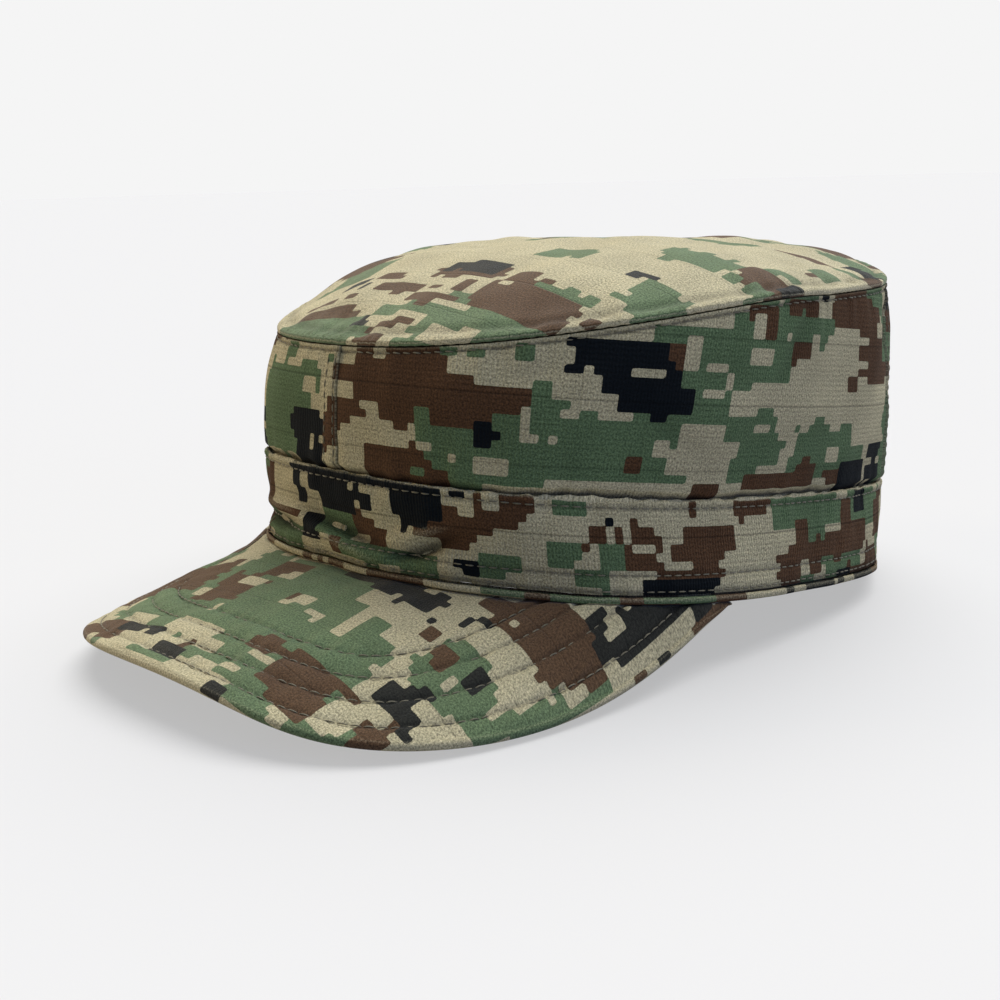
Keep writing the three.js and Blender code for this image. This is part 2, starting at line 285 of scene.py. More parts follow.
def wall_point(angle, level, inset):
    """A level is 0 at the lower edge, 1 at the top of the band and 2 at the seam round the top."""
    up, crown = np.minimum(level, 1), np.maximum(level - 1, 0)
    top = seam_height(angle)
    z = np.where(level <= 1, level * band_height, band_height + crown * (top - band_height))
    swell = wall_swell * np.sin(np.pi * np.minimum(crown, 1) ** 1.4)
    dent = sum(dent_depth * depth * bell(apart(angle, degrees), spread) * bell(z / top - height, rise)
               for degrees, height, spread, rise, depth in wall_dents)
    inwards = inset + dent * (1 - smooth((crown - 0.85) / 0.15))
    lower = between(ring_half_length, band_half_length, up)
    lower_width = between(ring_half_width, band_half_width, up)
    x, y = oblong(angle, between(lower, seam_half_length, crown) + swell - inwards,
                  between(lower_width, seam_half_width, crown) + swell - inwards,
                  between(ring_squareness, seam_squareness, crown))
    return np.stack(np.broadcast_arrays(x, y - seam_forward * crown, z), -1)


def top_point(angle, radius):
    """A point of the top's upper face. The radius is 0 in the middle and 1 at the seam."""
    rim = wall_point(angle, np.full_like(radius, 2.0), 0)
    middle = (seam_height_front + seam_height_back) / 2
    from_rim = radius ** 1.5
    dent = sum(dent_depth * depth * bell(apart(angle, degrees), spread) * bell(radius - place, reach)
               for degrees, place, spread, reach, depth in top_dents)
    dome = top_rise * (1 - radius ** 3) - dent * smooth((1 - radius) / 0.15)
    return np.stack([
        rim[..., 0] * radius,
        (rim[..., 1] + seam_forward) * radius - seam_forward,
        rim[..., 2] * from_rim + middle * (1 - from_rim) + dome + sewn_gap + cloth_thickness,
    ], -1)


def at_rest(points):
    """Points of the cap's own frame, in mm, as it leans on the table, in metres."""
    x, y, z = np.moveaxis(points, -1, 0)
    leaned = np.stack([
        x,
        y * math.cos(rest_lean) - z * math.sin(rest_lean),
        y * math.sin(rest_lean) + z * math.cos(rest_lean),
    ], -1)
    return (leaned + rest_shift) / 1000


seam_ring = at_rest(wall_point(np.radians(np.arange(0, 360, 5.0)), np.full(72, 2.0), 0))
low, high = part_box("side_panel_left")
print("top of the seam, here and in the solid, in mm:",
      round(1000 * seam_ring[:25, 2].max(), 2), round(1000 * high.z, 2))

# %% [markdown]
# ## Cloth as fine shells
# Each piece of cloth has an outer face, an inner face and edges. The outer face carries the print,
# the puckers and the stitched grooves, so it is a fine grid of points under 1 mm apart. The inner
# face is seen only from below, so it takes every third point, and strips of faces join the two.
# Blender's Solidify modifier could thicken a single sheet, but it would double the faces and round
# no edge. Two sets of texture places go with each grid: "weave" counts millimetres along the threads,
# and "OFBake" spreads the grid over one square. Two more values at each point say how pale the cloth
# is painted there, partly as wear and partly as painted highlight, and how much painted shade darkens
# it in folds, stitched grooves, seams and under ledges.

# %% Distances round the cap
fine_angles = np.radians(np.linspace(-250, 250, 10001))
fine_outline = wall_point(fine_angles, np.ones_like(fine_angles), 0)
fine_around = np.append(0, np.cumsum(np.linalg.norm(np.diff(fine_outline, axis=0), axis=1)))
fine_around -= np.interp(0, fine_angles, fine_around)


def angle_at(around):
    """The angle at a distance round the band from the middle of the front, in mm."""
    return np.interp(around, fine_around, fine_angles)


def around_at(angle):
    return np.interp(angle, fine_angles, fine_around)


def thirds(low, high, spacing):
    """Even places from low to high, a multiple of three steps of about that spacing."""
    steps = 3 * max(1, round((high - low) / spacing / 3))
    return np.linspace(low, high, steps + 1)


whole_round = around_at(math.pi) - around_at(-math.pi)
print("round the top of the band:", round(whole_round, 1), "mm")


# %% Shell of cloth
def outward(points, middle):
    """The direction away from a middle point, square to the surface, at each point of a grid."""
    across = np.cross(np.gradient(points, axis=0), np.gradient(points, axis=1))
    across /= np.maximum(np.linalg.norm(across, axis=-1, keepdims=True), 1e-12)
    return across * np.where(((points - middle) * across).sum(-1, keepdims=True) < 0, -1, 1)


def shell(name, outer, inner, weave, tones, wear_and_highlight, painted_shade, step=3):
    """A closed piece of cloth. The grids are in mm in the cap's frame, the inner at each `step`-th point."""
    number = np.arange(outer[..., 0].size).reshape(outer.shape[:2])
    small = number.size + np.arange(inner[..., 0].size).reshape(inner.shape[:2])
    shared = number[::step, ::step]
    faces, sources = [], []
    for grid, turned in ((number, False), (small, True)):
        quads = np.stack([grid[:-1, :-1], grid[:-1, 1:], grid[1:, 1:], grid[1:, :-1]], -1).reshape(-1, 4)
        quads = quads[:, ::-1] if turned else quads
        faces += quads.tolist()
        sources += quads.tolist()
    for side, turned in ((np.s_[0], True), (np.s_[-1], False), (np.s_[:, 0], False), (np.s_[:, -1], True)):
        edge, inner_edge, edge_source = number[side], small[side], shared[side]
        for j in range(len(inner_edge) - 1):
            outer_part = edge[step * j:step * j + step + 1]
            face = [*outer_part, inner_edge[j + 1], inner_edge[j]]
            source = [*outer_part, edge_source[j + 1], edge_source[j]]
            faces.append(face[::-1] if turned else face)
            sources.append(source[::-1] if turned else source)
    points = at_rest(np.concatenate([outer.reshape(-1, 3), inner.reshape(-1, 3)]))
    first = np.array([face[:3] for face in faces])
    a, b, c = points[first[:, 0]], points[first[:, 1]], points[first[:, 2]]
    if (a * np.cross(b, c)).sum() < 0:
        faces, sources = [face[::-1] for face in faces], [source[::-1] for source in sources]
    mesh = bpy.data.meshes.new(name)
    mesh.from_pydata(points.tolist(), [], faces)
    mesh.polygons.foreach_set("use_smooth", np.ones(len(faces), bool))

    rows, columns = outer.shape[:2]
    down, along = np.meshgrid(np.linspace(0, 1, rows), np.linspace(0, 1, columns), indexing="ij")
    split = 0.25 if step > 1 else 0.5
    spread = np.stack([0.005 + 0.99 * along, split + 0.005 + (0.99 - split) * down], -1)
    spread_inner = np.stack([0.005 + 0.99 * along, 0.005 + (split - 0.01) * down], -1)[::step, ::step]
    loop_sources = np.concatenate([np.array(source) for source in sources])
    layers = ("weave", weave, weave[::step, ::step]), ("OFBake", spread, spread_inner)
    for layer_name, outside, inside in layers:
        places = np.concatenate([outside.reshape(-1, 2), inside.reshape(-1, 2)])[loop_sources]
        layer = mesh.uv_layers.new(name=layer_name)
        layer.data.foreach_set("uv", places.astype(np.float32).ravel())
    mesh.uv_layers["OFBake"].active = True
    # The last two values are painted onto the cloth: paleness that is partly wear and partly painted highlight,
    # and painted shade.
    carried = {"green_ink": tones[..., 0], "brown_ink": tones[..., 1], "navy_ink": tones[..., 2],
               "wear_and_highlight": np.clip(wear_and_highlight, 0, 1), "painted_shade": np.clip(painted_shade, 0, 1)}
    for carried_name, grid in carried.items():
        values = np.concatenate([grid.ravel(), grid[::step, ::step].ravel()])
        mesh.attributes.new(carried_name, "FLOAT", "POINT").data.foreach_set("value", values.astype(np.float32))
    inside = np.concatenate([np.zeros(number.size), np.full(small.size, float(step > 1))])
    mesh.attributes.new("inner_face", "FLOAT", "POINT").data.foreach_set("value", inside.astype(np.float32))
    mesh.validate()
    piece = bpy.data.objects.new(name, mesh)
    bpy.context.scene.collection.objects.link(piece)
    print(name, "has", sum(len(face) - 2 for face in faces), "triangles")
    return piece


# %% [markdown]
# ## The print
# Digital camouflage is printed on a tan ground in three darker inks: green, then brown, then a
# near-black navy. Its patches are built of square cells, here 2.25 mm, many of them in blocks of two,
# so every edge is stepped. Painting it by hand as a picture would fix its sharpness, and noise alone
# would give clouds and no steps. So each piece of cloth gets a chart: rows that say which ink covers
# about which box, in mm along and up the piece. A seeded unevenness steps the boxes' edges and drops
# a few stray cells beside them. Each ink becomes a smooth height over the cloth, stored at the points
# of the grid, that crosses zero at the patch's edge, so the edge stays crisp at any distance.

# %% Inks on a grid of cells
cell = 2.25
box_margin = 0.5
GREEN, BROWN, NAVY = 1, 2, 3
fine_cells = 6
edge_blur = 0.22


def blurred(image, reach):
    """The image with each pixel spread over its neighbours, first along one side, then the other."""
    steps = np.arange(-3 * math.ceil(reach), 3 * math.ceil(reach) + 1)
    weights = np.exp(-0.5 * (steps / reach) ** 2)
    weights /= weights.sum()
    for axis in (0, 1):
        padded = np.pad(image, [(len(steps) // 2,) * 2 if k == axis else (0, 0) for k in (0, 1)], mode="edge")
        image = sum(w * np.take(padded, range(i, i + image.shape[axis]), axis) for i, w in enumerate(weights))
    return image


def blocky(shape, tall, wide, rng):
    """Random numbers from -0.5 to 0.5 that stay the same over blocks of cells."""
    coarse = rng.random((shape[0] // tall + 2, shape[1] // wide + 2)) - 0.5
    return np.kron(coarse, np.ones((tall, wide)))[:shape[0], :shape[1]]


def printed(chart, low, high, seed):
    """The ink on each cell of a box from low to high: 0 is bare tan ground."""
    rng = np.random.default_rng(seed)
    along = np.arange(low[0] + cell / 2, high[0] + cell, cell)
    up = np.arange(low[1] + cell / 2, high[1] + cell, cell)
    cell_along, cell_up = np.meshgrid(along, up)
    inks = np.zeros(cell_along.shape, int)
    for ink, centre_along, centre_up, half_along, half_up in chart:
        out_along = np.abs(cell_along - centre_along) - max(half_along + box_margin, cell / 2)
        out_up = np.abs(cell_up - centre_up) - max(half_up + box_margin, cell / 2)
        out = np.maximum(out_along, out_up)
        corner = np.maximum(out_along, 0) + np.maximum(out_up, 0) + np.minimum(out, 0)
        ragged = 3.2 * blocky(inks.shape, 1, 2, rng) + 2.4 * blocky(inks.shape, 2, 3, rng)
        reach = min(1.0, max(0.1, (min(half_along, half_up) - 2.5) / 5))
        inks[corner + ragged * reach < 0] = ink
    return inks


def tones_at(inks, low, weave):
    """Each ink's height at places on the cloth: above 0 where the ink is, in about millimetres."""
    pixel = cell / fine_cells
    column = np.clip((weave[..., 0] - low[0]) / pixel - 0.5, 0, inks.shape[1] * fine_cells - 1.001)
    row = np.clip((weave[..., 1] - low[1]) / pixel - 0.5, 0, inks.shape[0] * fine_cells - 1.001)
    c, r = column.astype(int), row.astype(int)
    across, down = column - c, row - r
    tones = []
    for ink in (GREEN, BROWN, NAVY):
        mask = np.kron((inks >= ink).astype(float), np.ones((fine_cells, fine_cells)))
        share = np.clip(blurred(mask, edge_blur / pixel), 0.004, 0.996)
        height = 0.28 * np.log(share / (1 - share))
        tones.append(between(between(height[r, c], height[r, c + 1], across),
                             between(height[r + 1, c], height[r + 1, c + 1], across), down))
    return np.stack(tones, -1)


print("cells of", cell, "mm, drawn with", fine_cells, "steps each")

# %% [markdown]
# ## Charts of the print
# The wall and the band are cut from cloth whose print repeats, so one chart serves all round: it
# covers 250 mm and is laid again beside itself. The top and the peak have charts of their own, with
# places counted from the middle of the cap to the wearer's left and to the back, or to the front.
# Large boxes come first and the small spots that break them up come last.

# %% Charts: ink, place along, place up, half width, half height, in mm
TAN = 0
print_repeat = 250.0
wall_chart = [
    (GREEN, 135, 84, 8, 4), (BROWN, 163, 88, 9, 4), (GREEN, 122, 84, 8, 4), (BROWN, 108, 30, 5, 2),
    (GREEN, 190, 84, 9, 6), (BROWN, 197, 92, 8, 4), (GREEN, -38, 72, 12, 6), (BROWN, -26, 80, 12, 5),
    (NAVY, -34, 86, 6, 4), (GREEN, -8, 76, 10, 6), (BROWN, 10, 86, 12, 5), (GREEN, 24, 78, 9, 5),
    (NAVY, 14, 92, 6, 3), (GREEN, 50, 84, 16, 6), (BROWN, 66, 92, 10, 4), (TAN, -12, 88, 6, 4),
    (GREEN, 92, 90, 12, 5), (NAVY, 112, 92, 7, 4), (GREEN, -36, 46, 6, 8), (GREEN, 92, 45, 19, 2.5),
    (GREEN, 83, 38, 16.5, 5), (GREEN, 101, 50, 8, 2), (GREEN, 114, 46, 3, 2), (GREEN, 102, 58, 6.5, 3),
    (GREEN, 104, 53, 5, 2), (TAN, 105, 55, 2.5, 1), (GREEN, 110, 55, 1, 1.5), (NAVY, 75, 66, 10, 1),
    (NAVY, 80, 63, 11, 2.5), (NAVY, 68, 60, 2, 1), (NAVY, 74, 60, 1.5, 1), (TAN, 85, 60, 3.5, 1),
    (NAVY, 90, 60, 1.5, 1), (NAVY, 82, 57, 6.5, 2.5), (NAVY, 93, 58, 2, 2), (NAVY, 89, 53, 10.5, 2),
    (NAVY, 90, 49, 2.5, 2), (BROWN, 92, 64, 1, 2), (GREEN, 90, 70, 5, 1), (GREEN, 110, 69, 11.5, 2),
    (GREEN, 107, 65, 7.5, 2.5), (GREEN, 136, 72, 15, 4), (GREEN, 124, 65, 3, 3), (GREEN, 116, 63, 6.5, 2),
    (GREEN, 113, 59, 3, 2), (GREEN, 130, 66, 1.5, 2), (TAN, 129, 72, 1, 2.5), (TAN, 118, 66, 3.5, 1),
    (BROWN, 118, 77, 5, 2), (BROWN, 121, 72, 2, 3), (BROWN, 135, 78, 6.5, 1.5), (BROWN, 165, 77, 9, 4),
    (TAN, 144, 73, 1, 4.5), (BROWN, 192, 67, 9.5, 8), (TAN, 192, 74, 3, 2), (BROWN, 180, 78, 7, 4.5),
    (BROWN, 137, 67, 4, 1.5), (BROWN, 174, 71, 1, 1), (BROWN, 178, 68, 3, 1), (BROWN, 178, 62, 3, 1.5),
    (BROWN, 172, 58, 2, 1.5), (BROWN, 173, 64, 1, 1), (NAVY, 150, 82, 3.5, 1), (GREEN, 125, 47, 3.5, 4),
    (GREEN, 124, 46, 7, 2.5), (TAN, 125, 46, 2, 1), (GREEN, 126, 40, 9.5, 3), (GREEN, 120, 36, 5.5, 3),
    (GREEN, 154, 39, 13, 6.5), (GREEN, 152, 47, 2.5, 2), (GREEN, 170, 43, 2, 3), (GREEN, 175, 38, 8.5, 2.5),
    (TAN, 163, 39, 2.5, 1.5), (BROWN, 149, 34, 5, 2), (BROWN, 148, 37, 1.5, 1), (BROWN, 139, 32, 16.5, 2),
    (BROWN, 168, 31, 6.5, 2), (NAVY, 178, 32, 8, 4), (NAVY, 198, 38, 8, 2.5), (NAVY, 198, 31, 8.5, 2.5),
    (TAN, 92, 40, 1, 2), (BROWN, 86, 36, 2, 1.5), (TAN, 104, 44, 6, 2), (TAN, 108, 40, 9.5, 1.5),
    (TAN, 105, 36, 9.5, 3), (GREEN, -30, 40, 15.5, 11), (GREEN, -19, 48, 10, 4.5), (GREEN, -15, 54, 4.5, 1),
    (GREEN, -29, 58, 3, 2), (GREEN, -5, 58, 2, 1), (TAN, -15, 50, 2.5, 1.5), (TAN, -9, 45, 3, 1),
    (NAVY, -15, 38, 6.5, 4.5), (NAVY, -14, 31, 6, 3), (NAVY, -23, 38, 1, 1), (TAN, -12, 34, 1, 2),
    (BROWN, 24, 59, 14, 2.5), (TAN, 17, 60, 1.5, 1.5), (BROWN, 22, 54, 23.5, 2.5), (BROWN, 33, 51, 25, 2),
    (BROWN, 36, 48, 22.5, 2), (TAN, 4, 49, 4, 2), (BROWN, 5, 45, 8.5, 2), (BROWN, -2, 38, 4, 5),
    (BROWN, 5, 42, 2, 1.5), (BROWN, 23, 46, 6, 2.5), (TAN, 15, 45, 2, 2), (TAN, 17, 39, 11, 3.5),
    (TAN, 6, 34, 6, 5), (BROWN, 25, 42, 1, 1.5), (GREEN, 32, 41, 3, 6), (BROWN, 42, 45, 7.5, 2.5),
    (BROWN, 44, 42, 2, 2), (GREEN, 53, 43, 3, 4.5), (TAN, 57, 46, 1, 2.5), (GREEN, 61, 49, 2.5, 7),
    (GREEN, 65, 49, 1, 2.5), (GREEN, 77, 39, 10, 8.5), (GREEN, 50, 35, 18, 6), (GREEN, 33, 31, 4.5, 4),
    (NAVY, 48, 41, 2, 2.5), (TAN, 31, 37, 2, 1.5), (BROWN, 21, 32, 9, 4), (BROWN, 28, 36, 1, 1),
    (GREEN, 30, 30, 2, 1), (BROWN, 35, 30, 2.5, 2), (TAN, 50, 34, 4, 1), (TAN, 40, 34, 1, 1),
    (BROWN, 86, 35, 1.5, 2), (GREEN, 45, 62, 2.5, 1.5), (GREEN, 57, 63, 2, 2), (GREEN, 39, 62, 2, 1),
    (TAN, 76, 30, 12.5, 1), (NAVY, 76, 66, 10.5, 1.5), (NAVY, 81, 64, 11, 2), (BROWN, 92, 64, 1, 2),
    (NAVY, 75, 60, 1.5, 1), (NAVY, 90, 61, 1.5, 1.5), (TAN, 85, 60, 3.5, 1), (GREEN, 91, 71, 4.5, 1),
    (GREEN, 111, 67, 12, 4), (GREEN, 133, 74, 25, 2), (GREEN, 121, 62, 11, 2.5), (GREEN, 102, 59, 6, 2),
    (TAN, 119, 66, 3.5, 2), (BROWN, 118, 76, 5, 2), (BROWN, 120, 72, 3, 2.5), (TAN, 117, 73, 1.5, 2),
    (TAN, 129, 72, 1, 2), (BROWN, 136, 78, 6.5, 2), (GREEN, 140, 75, 16, 2), (BROWN, 168, 78, 10, 4),
    (BROWN, 176, 83, 6.5, 3), (BROWN, 186, 78, 6, 3), (BROWN, 201, 69, 14, 7.5), (TAN, 193, 74, 4, 2),
    (BROWN, 138, 66, 4, 1.5), (GREEN, 129, 64, 4, 3), (BROWN, 180, 68, 3, 1.5), (BROWN, 179, 62, 2.5, 1),
    (BROWN, 175, 71, 1, 2), (TAN, 166, 67, 8.5, 6.5),
]
band_chart = [
    (BROWN, -44, 18, 6, 5), (GREEN, -42, 9, 6, 3), (GREEN, 67, 12, 3, 2.5), (GREEN, 70, 25, 3, 1),
    (GREEN, 74, 6, 3, 1.5), (BROWN, 77, 18, 1, 1), (BROWN, 73, 15, 1, 1), (GREEN, 80, 12, 2, 3),
    (BROWN, 80, 22, 1, 1), (BROWN, 86, 22, 1, 1), (BROWN, 76, 18, 1, 1), (BROWN, 82, 17, 1, 2),
    (BROWN, 84, 12, 1, 3.5), (BROWN, 88, 12, 3, 1.5), (BROWN, 89, 18, 2.5, 2), (BROWN, 93, 16, 1, 1),
    (BROWN, 94, 9, 1, 2), (BROWN, 110, 17, 8, 2.5), (BROWN, 106, 13, 8.5, 2), (BROWN, 108, 8, 5, 2),
    (BROWN, 99, 7, 4, 1), (NAVY, 100, 5, 11, 1.5), (BROWN, 128, 25, 7.5, 1), (BROWN, 122, 22, 1, 2),
    (BROWN, 105, 25, 1, 1), (GREEN, 154, 22, 18, 4), (GREEN, 158, 14, 4, 3), (GREEN, 152, 4, 3.5, 2),
    (GREEN, 192, 21, 14.5, 5), (GREEN, 173, 6, 12, 4.5), (BROWN, 150, 12, 2.5, 7.5),
    (BROWN, 152, 12, 10, 2), (BROWN, 142, 6, 5.5, 5), (TAN, 152, 7, 2.5, 1.5), (BROWN, 157, 8, 3.5, 3),
    (BROWN, 175, 13, 12.5, 2.5), (BROWN, 175, 20, 3, 3.5), (BROWN, 180, 16, 9, 1),
    (BROWN, 169, 8, 1.5, 1.5), (NAVY, 185, 24, 4, 2.5), (BROWN, 198, 6, 8, 3.5), (BROWN, 184, 4, 7.5, 1),
    (NAVY, 173, 2, 3.5, 1), (NAVY, -4, 23, 8.5, 2.5), (NAVY, -2, 19, 6.5, 2), (NAVY, -2, 16, 4, 1.5),
    (TAN, 6, 22, 1.5, 1.5), (NAVY, 8, 22, 1.5, 1.5), (NAVY, 12, 21, 2, 2), (TAN, 17, 19, 3.5, 4.5),
    (NAVY, 25, 26, 12, 1), (NAVY, 28, 23, 7, 3.5), (NAVY, 26, 17, 4, 2), (NAVY, -22, 26, 2, 1),
    (NAVY, -21, 22, 2, 1.5), (NAVY, -18, 18, 1, 1.5), (BROWN, 8, 17, 1.5, 1.5), (BROWN, 8, 14, 4, 1.5),
    (TAN, 41, 25, 4.5, 2), (TAN, 41, 22, 1.5, 2), (NAVY, 41, 26, 1.5, 1.5), (BROWN, 36, 17, 9.5, 2.5),
    (BROWN, 37, 20, 2.5, 2), (BROWN, 46, 21, 1, 5.5), (BROWN, 53, 23, 5.5, 1), (BROWN, 56, 24, 4, 2),
    (BROWN, 51, 20, 4, 1.5), (TAN, 50, 24, 2, 1), (BROWN, 38, 14, 4, 1.5), (BROWN, 47, 17, 2, 1),
    (BROWN, -34, 12, 16.5, 1), (NAVY, -12, 10, 4, 2), (GREEN, -26, 6, 10, 2.5), (GREEN, -2, 12, 6.5, 3),
    (BROWN, 15, 11, 3, 1.5), (GREEN, 13, 6, 11, 2), (GREEN, 28, 6, 6, 2.5), (BROWN, 1, 7, 2, 1.5),
    (TAN, 37, 5, 3.5, 2), (NAVY, 42, 6, 2, 2), (GREEN, 50, 8, 5, 2), (GREEN, 67, 13, 3.5, 2.5),
    (GREEN, 75, 6, 3, 2), (GREEN, 70, 25, 3.5, 1), (NAVY, 80, 22, 1, 1), (BROWN, 76, 18, 1, 1),
    (BROWN, 86, 22, 1, 1), (BROWN, 82, 16, 1, 3), (GREEN, 80, 12, 1.5, 3),
    (NAVY, 2, 26, 23, 1.5), (NAVY, -4, 23, 8, 3), (NAVY, -1, 19, 6.5, 2.5), (NAVY, 28, 23, 7, 4),
    (NAVY, 26, 18, 4, 2.5),
]
top_chart = [
    (GREEN, -20, 62, 9, 5), (BROWN, -8, 57, 5, 4), (NAVY, 4, 63, 3, 2), (GREEN, 26, 44, 10, 4),
    (TAN, 26, 45, 3, 2), (GREEN, -34, 8, 8, 5), (TAN, -33, 9, 2, 2), (BROWN, -26, 14, 4, 4),
    (NAVY, -50, 13, 4, 2), (BROWN, -50, 64, 5, 3), (GREEN, -10, 34, 6, 4), (BROWN, -62, -8, 4, 6),
    (GREEN, -44, -14, 5, 4),
    (GREEN, -40, 85, 16, 7), (BROWN, -20, 90, 9, 5), (NAVY, -30, 79, 5, 2), (GREEN, 12, 88, 10, 8),
    (BROWN, 30, 84, 12, 5), (GREEN, 48, 78, 9, 7), (NAVY, 40, 91, 5, 3), (GREEN, 77, 52, 7, 12),
    (BROWN, 82, 28, 4, 7), (GREEN, -70, 60, 9, 9), (BROWN, -83, 34, 5, 9), (GREEN, -86, 8, 4, 12),
    (TAN, -44, 87, 4, 2), (TAN, 14, 92, 3, 3), (GREEN, -58, 74, 9, 5), (BROWN, 64, 68, 7, 6),
    (GREEN, -16, -102, 18, 5), (BROWN, 10, -102, 4, 5), (GREEN, 26, -99, 8, 4), (GREEN, 46, -92, 12, 4),
    (BROWN, 66, -84, 5, 3), (GREEN, 78, -66, 6, 6), (GREEN, 86, -48, 5, 5), (BROWN, 88, -24, 5, 7),
    (GREEN, -40, -62, 10, 8), (BROWN, -52, -50, 10, 8), (NAVY, -58, -38, 5, 7), (GREEN, -62, -22, 8, 8),
    (BROWN, -66, -4, 8, 7), (NAVY, -50, -14, 6, 5), (GREEN, 4, -10, 20, 7), (BROWN, -10, 2, 14, 5),
    (GREEN, 38, 8, 14, 6), (BROWN, 60, 20, 10, 5), (GREEN, -38, 22, 16, 9), (BROWN, -58, 34, 10, 7),
    (NAVY, -18, 28, 7, 5), (BROWN, 10, 36, 14, 5), (GREEN, 28, 58, 15, 8), (BROWN, 44, 64, 8, 6),
    (GREEN, -34, 62, 14, 8), (BROWN, -16, 72, 9, 5), (NAVY, 4, 66, 6, 5), (GREEN, 0, 86, 15, 5),
    (TAN, -30, 66, 4, 3), (NAVY, 72, 36, 6, 6), (GREEN, 62, 50, 8, 7), (GREEN, 36, -89, 16, 8),
    (GREEN, 34, -85, 14.5, 7), (BROWN, 41, -80, 13, 6.5), (BROWN, 34, -73, 7, 6), (BROWN, 11, -66, 12, 4.5),
    (GREEN, -16, -95, 13, 1.5), (GREEN, -8, -100, 13.5, 1), (BROWN, 10, -98, 3, 4), (BROWN, 15, -93, 2, 1),
    (GREEN, 4, -90, 4.5, 1), (GREEN, 8, -84, 2, 1), (GREEN, 14, -88, 3.5, 1), (BROWN, -32, -85, 6, 1),
    (BROWN, -13, -92, 6, 1), (NAVY, -2, -94, 1, 2), (BROWN, -18, -85, 2.5, 1), (BROWN, -28, -94, 2, 1),
    (BROWN, -4, -79, 8, 2.5), (BROWN, -15, -72, 5, 1), (BROWN, -2, -82, 2.5, 1), (BROWN, 9, -78, 1.5, 1),
    (BROWN, 14, -82, 2, 1), (BROWN, 18, -76, 1.5, 3), (BROWN, 20, -82, 1, 1), (BROWN, 26, -73, 1, 2.5),
    (BROWN, 20, -67, 1, 2), (BROWN, 32, -66, 4.5, 3), (TAN, 29, -71, 2, 1), (BROWN, 55, -80, 4, 3),
    (GREEN, 52, -70, 6, 2), (GREEN, 57, -72, 3, 4), (NAVY, 10, -63, 9, 3), (NAVY, -28, -74, 5, 1),
    (NAVY, -19, -79, 1, 1), (TAN, -6, -70, 4.5, 1), (GREEN, 69, -60, 8, 6), (GREEN, 58, -30, 9, 9),
    (GREEN, 64, -31, 7, 7), (NAVY, 57, -49, 3, 2), (NAVY, 60, -51, 2.5, 2), (GREEN, 72, -62, 3, 5),
    (GREEN, 74, -33, 1, 2), (BROWN, 76, -26, 1, 7), (BROWN, 79, -23, 6, 4), (NAVY, 85, -21, 1, 4),
    (GREEN, 82, -34, 2, 4.5), (GREEN, 79, -14, 4, 2.5), (GREEN, 81, -43, 1, 2), (BROWN, 63, -74, 1.5, 1),
    (BROWN, 65, -68, 2, 1.5), (BROWN, 67, -70, 1, 1.5), (NAVY, 75, 32, 4.5, 1.5), (GREEN, 77, 20, 3, 1),
    (BROWN, 80, -1, 1, 2), (GREEN, -10, -99, 15, 1), (GREEN, -22, -95, 18.5, 3), (BROWN, -23, -90, 10, 1),
    (NAVY, -2, -95, 3, 1), (BROWN, 10, -98, 3, 3.5), (BROWN, 16, -93, 2, 1), (GREEN, 7, -89, 7, 1),
    (TAN, 15, -98, 7.5, 1), (GREEN, 36, -89, 16, 7), (GREEN, 46, -88, 8.5, 5.5), (TAN, 32, -96, 7, 2.5),
    (TAN, 37, -91, 2, 1), (BROWN, 42, -79, 13.5, 3), (BROWN, 55, -80, 3.5, 2.5), (BROWN, 63, -74, 1.5, 1.5),
    (BROWN, 67, -70, 1, 1.5), (GREEN, 60, -70, 6, 3.5), (BROWN, 14, -84, 8, 2), (TAN, 22, -85, 6, 1),
    (TAN, 54, -48, 22, 13.5), (NAVY, 58, -49, 4, 1), (GREEN, 27, -44, 8, 4), (TAN, 65, -12, 1, 6),
    (BROWN, 79, -24, 4.5, 7), (GREEN, 74, -32, 1, 2), (GREEN, 82, -31, 3, 3), (NAVY, 86, -20, 1, 4),
    (BROWN, 76, -22, 1, 4), (GREEN, 70, -58, 8, 8), (GREEN, 50, -68, 10.5, 1), (BROWN, 50, -74, 8.5, 4),
    (BROWN, 65, -69, 3, 1), (TAN, 64, -72, 5.5, 7), (BROWN, 63, -74, 2, 2), (GREEN, 81, -42, 1, 1.5),
    (TAN, 80, -43, 3.5, 8), (GREEN, 76, 23, 4, 2), (NAVY, 73, 35, 5, 3), (GREEN, 80, 4, 2.5, 4.5),
]
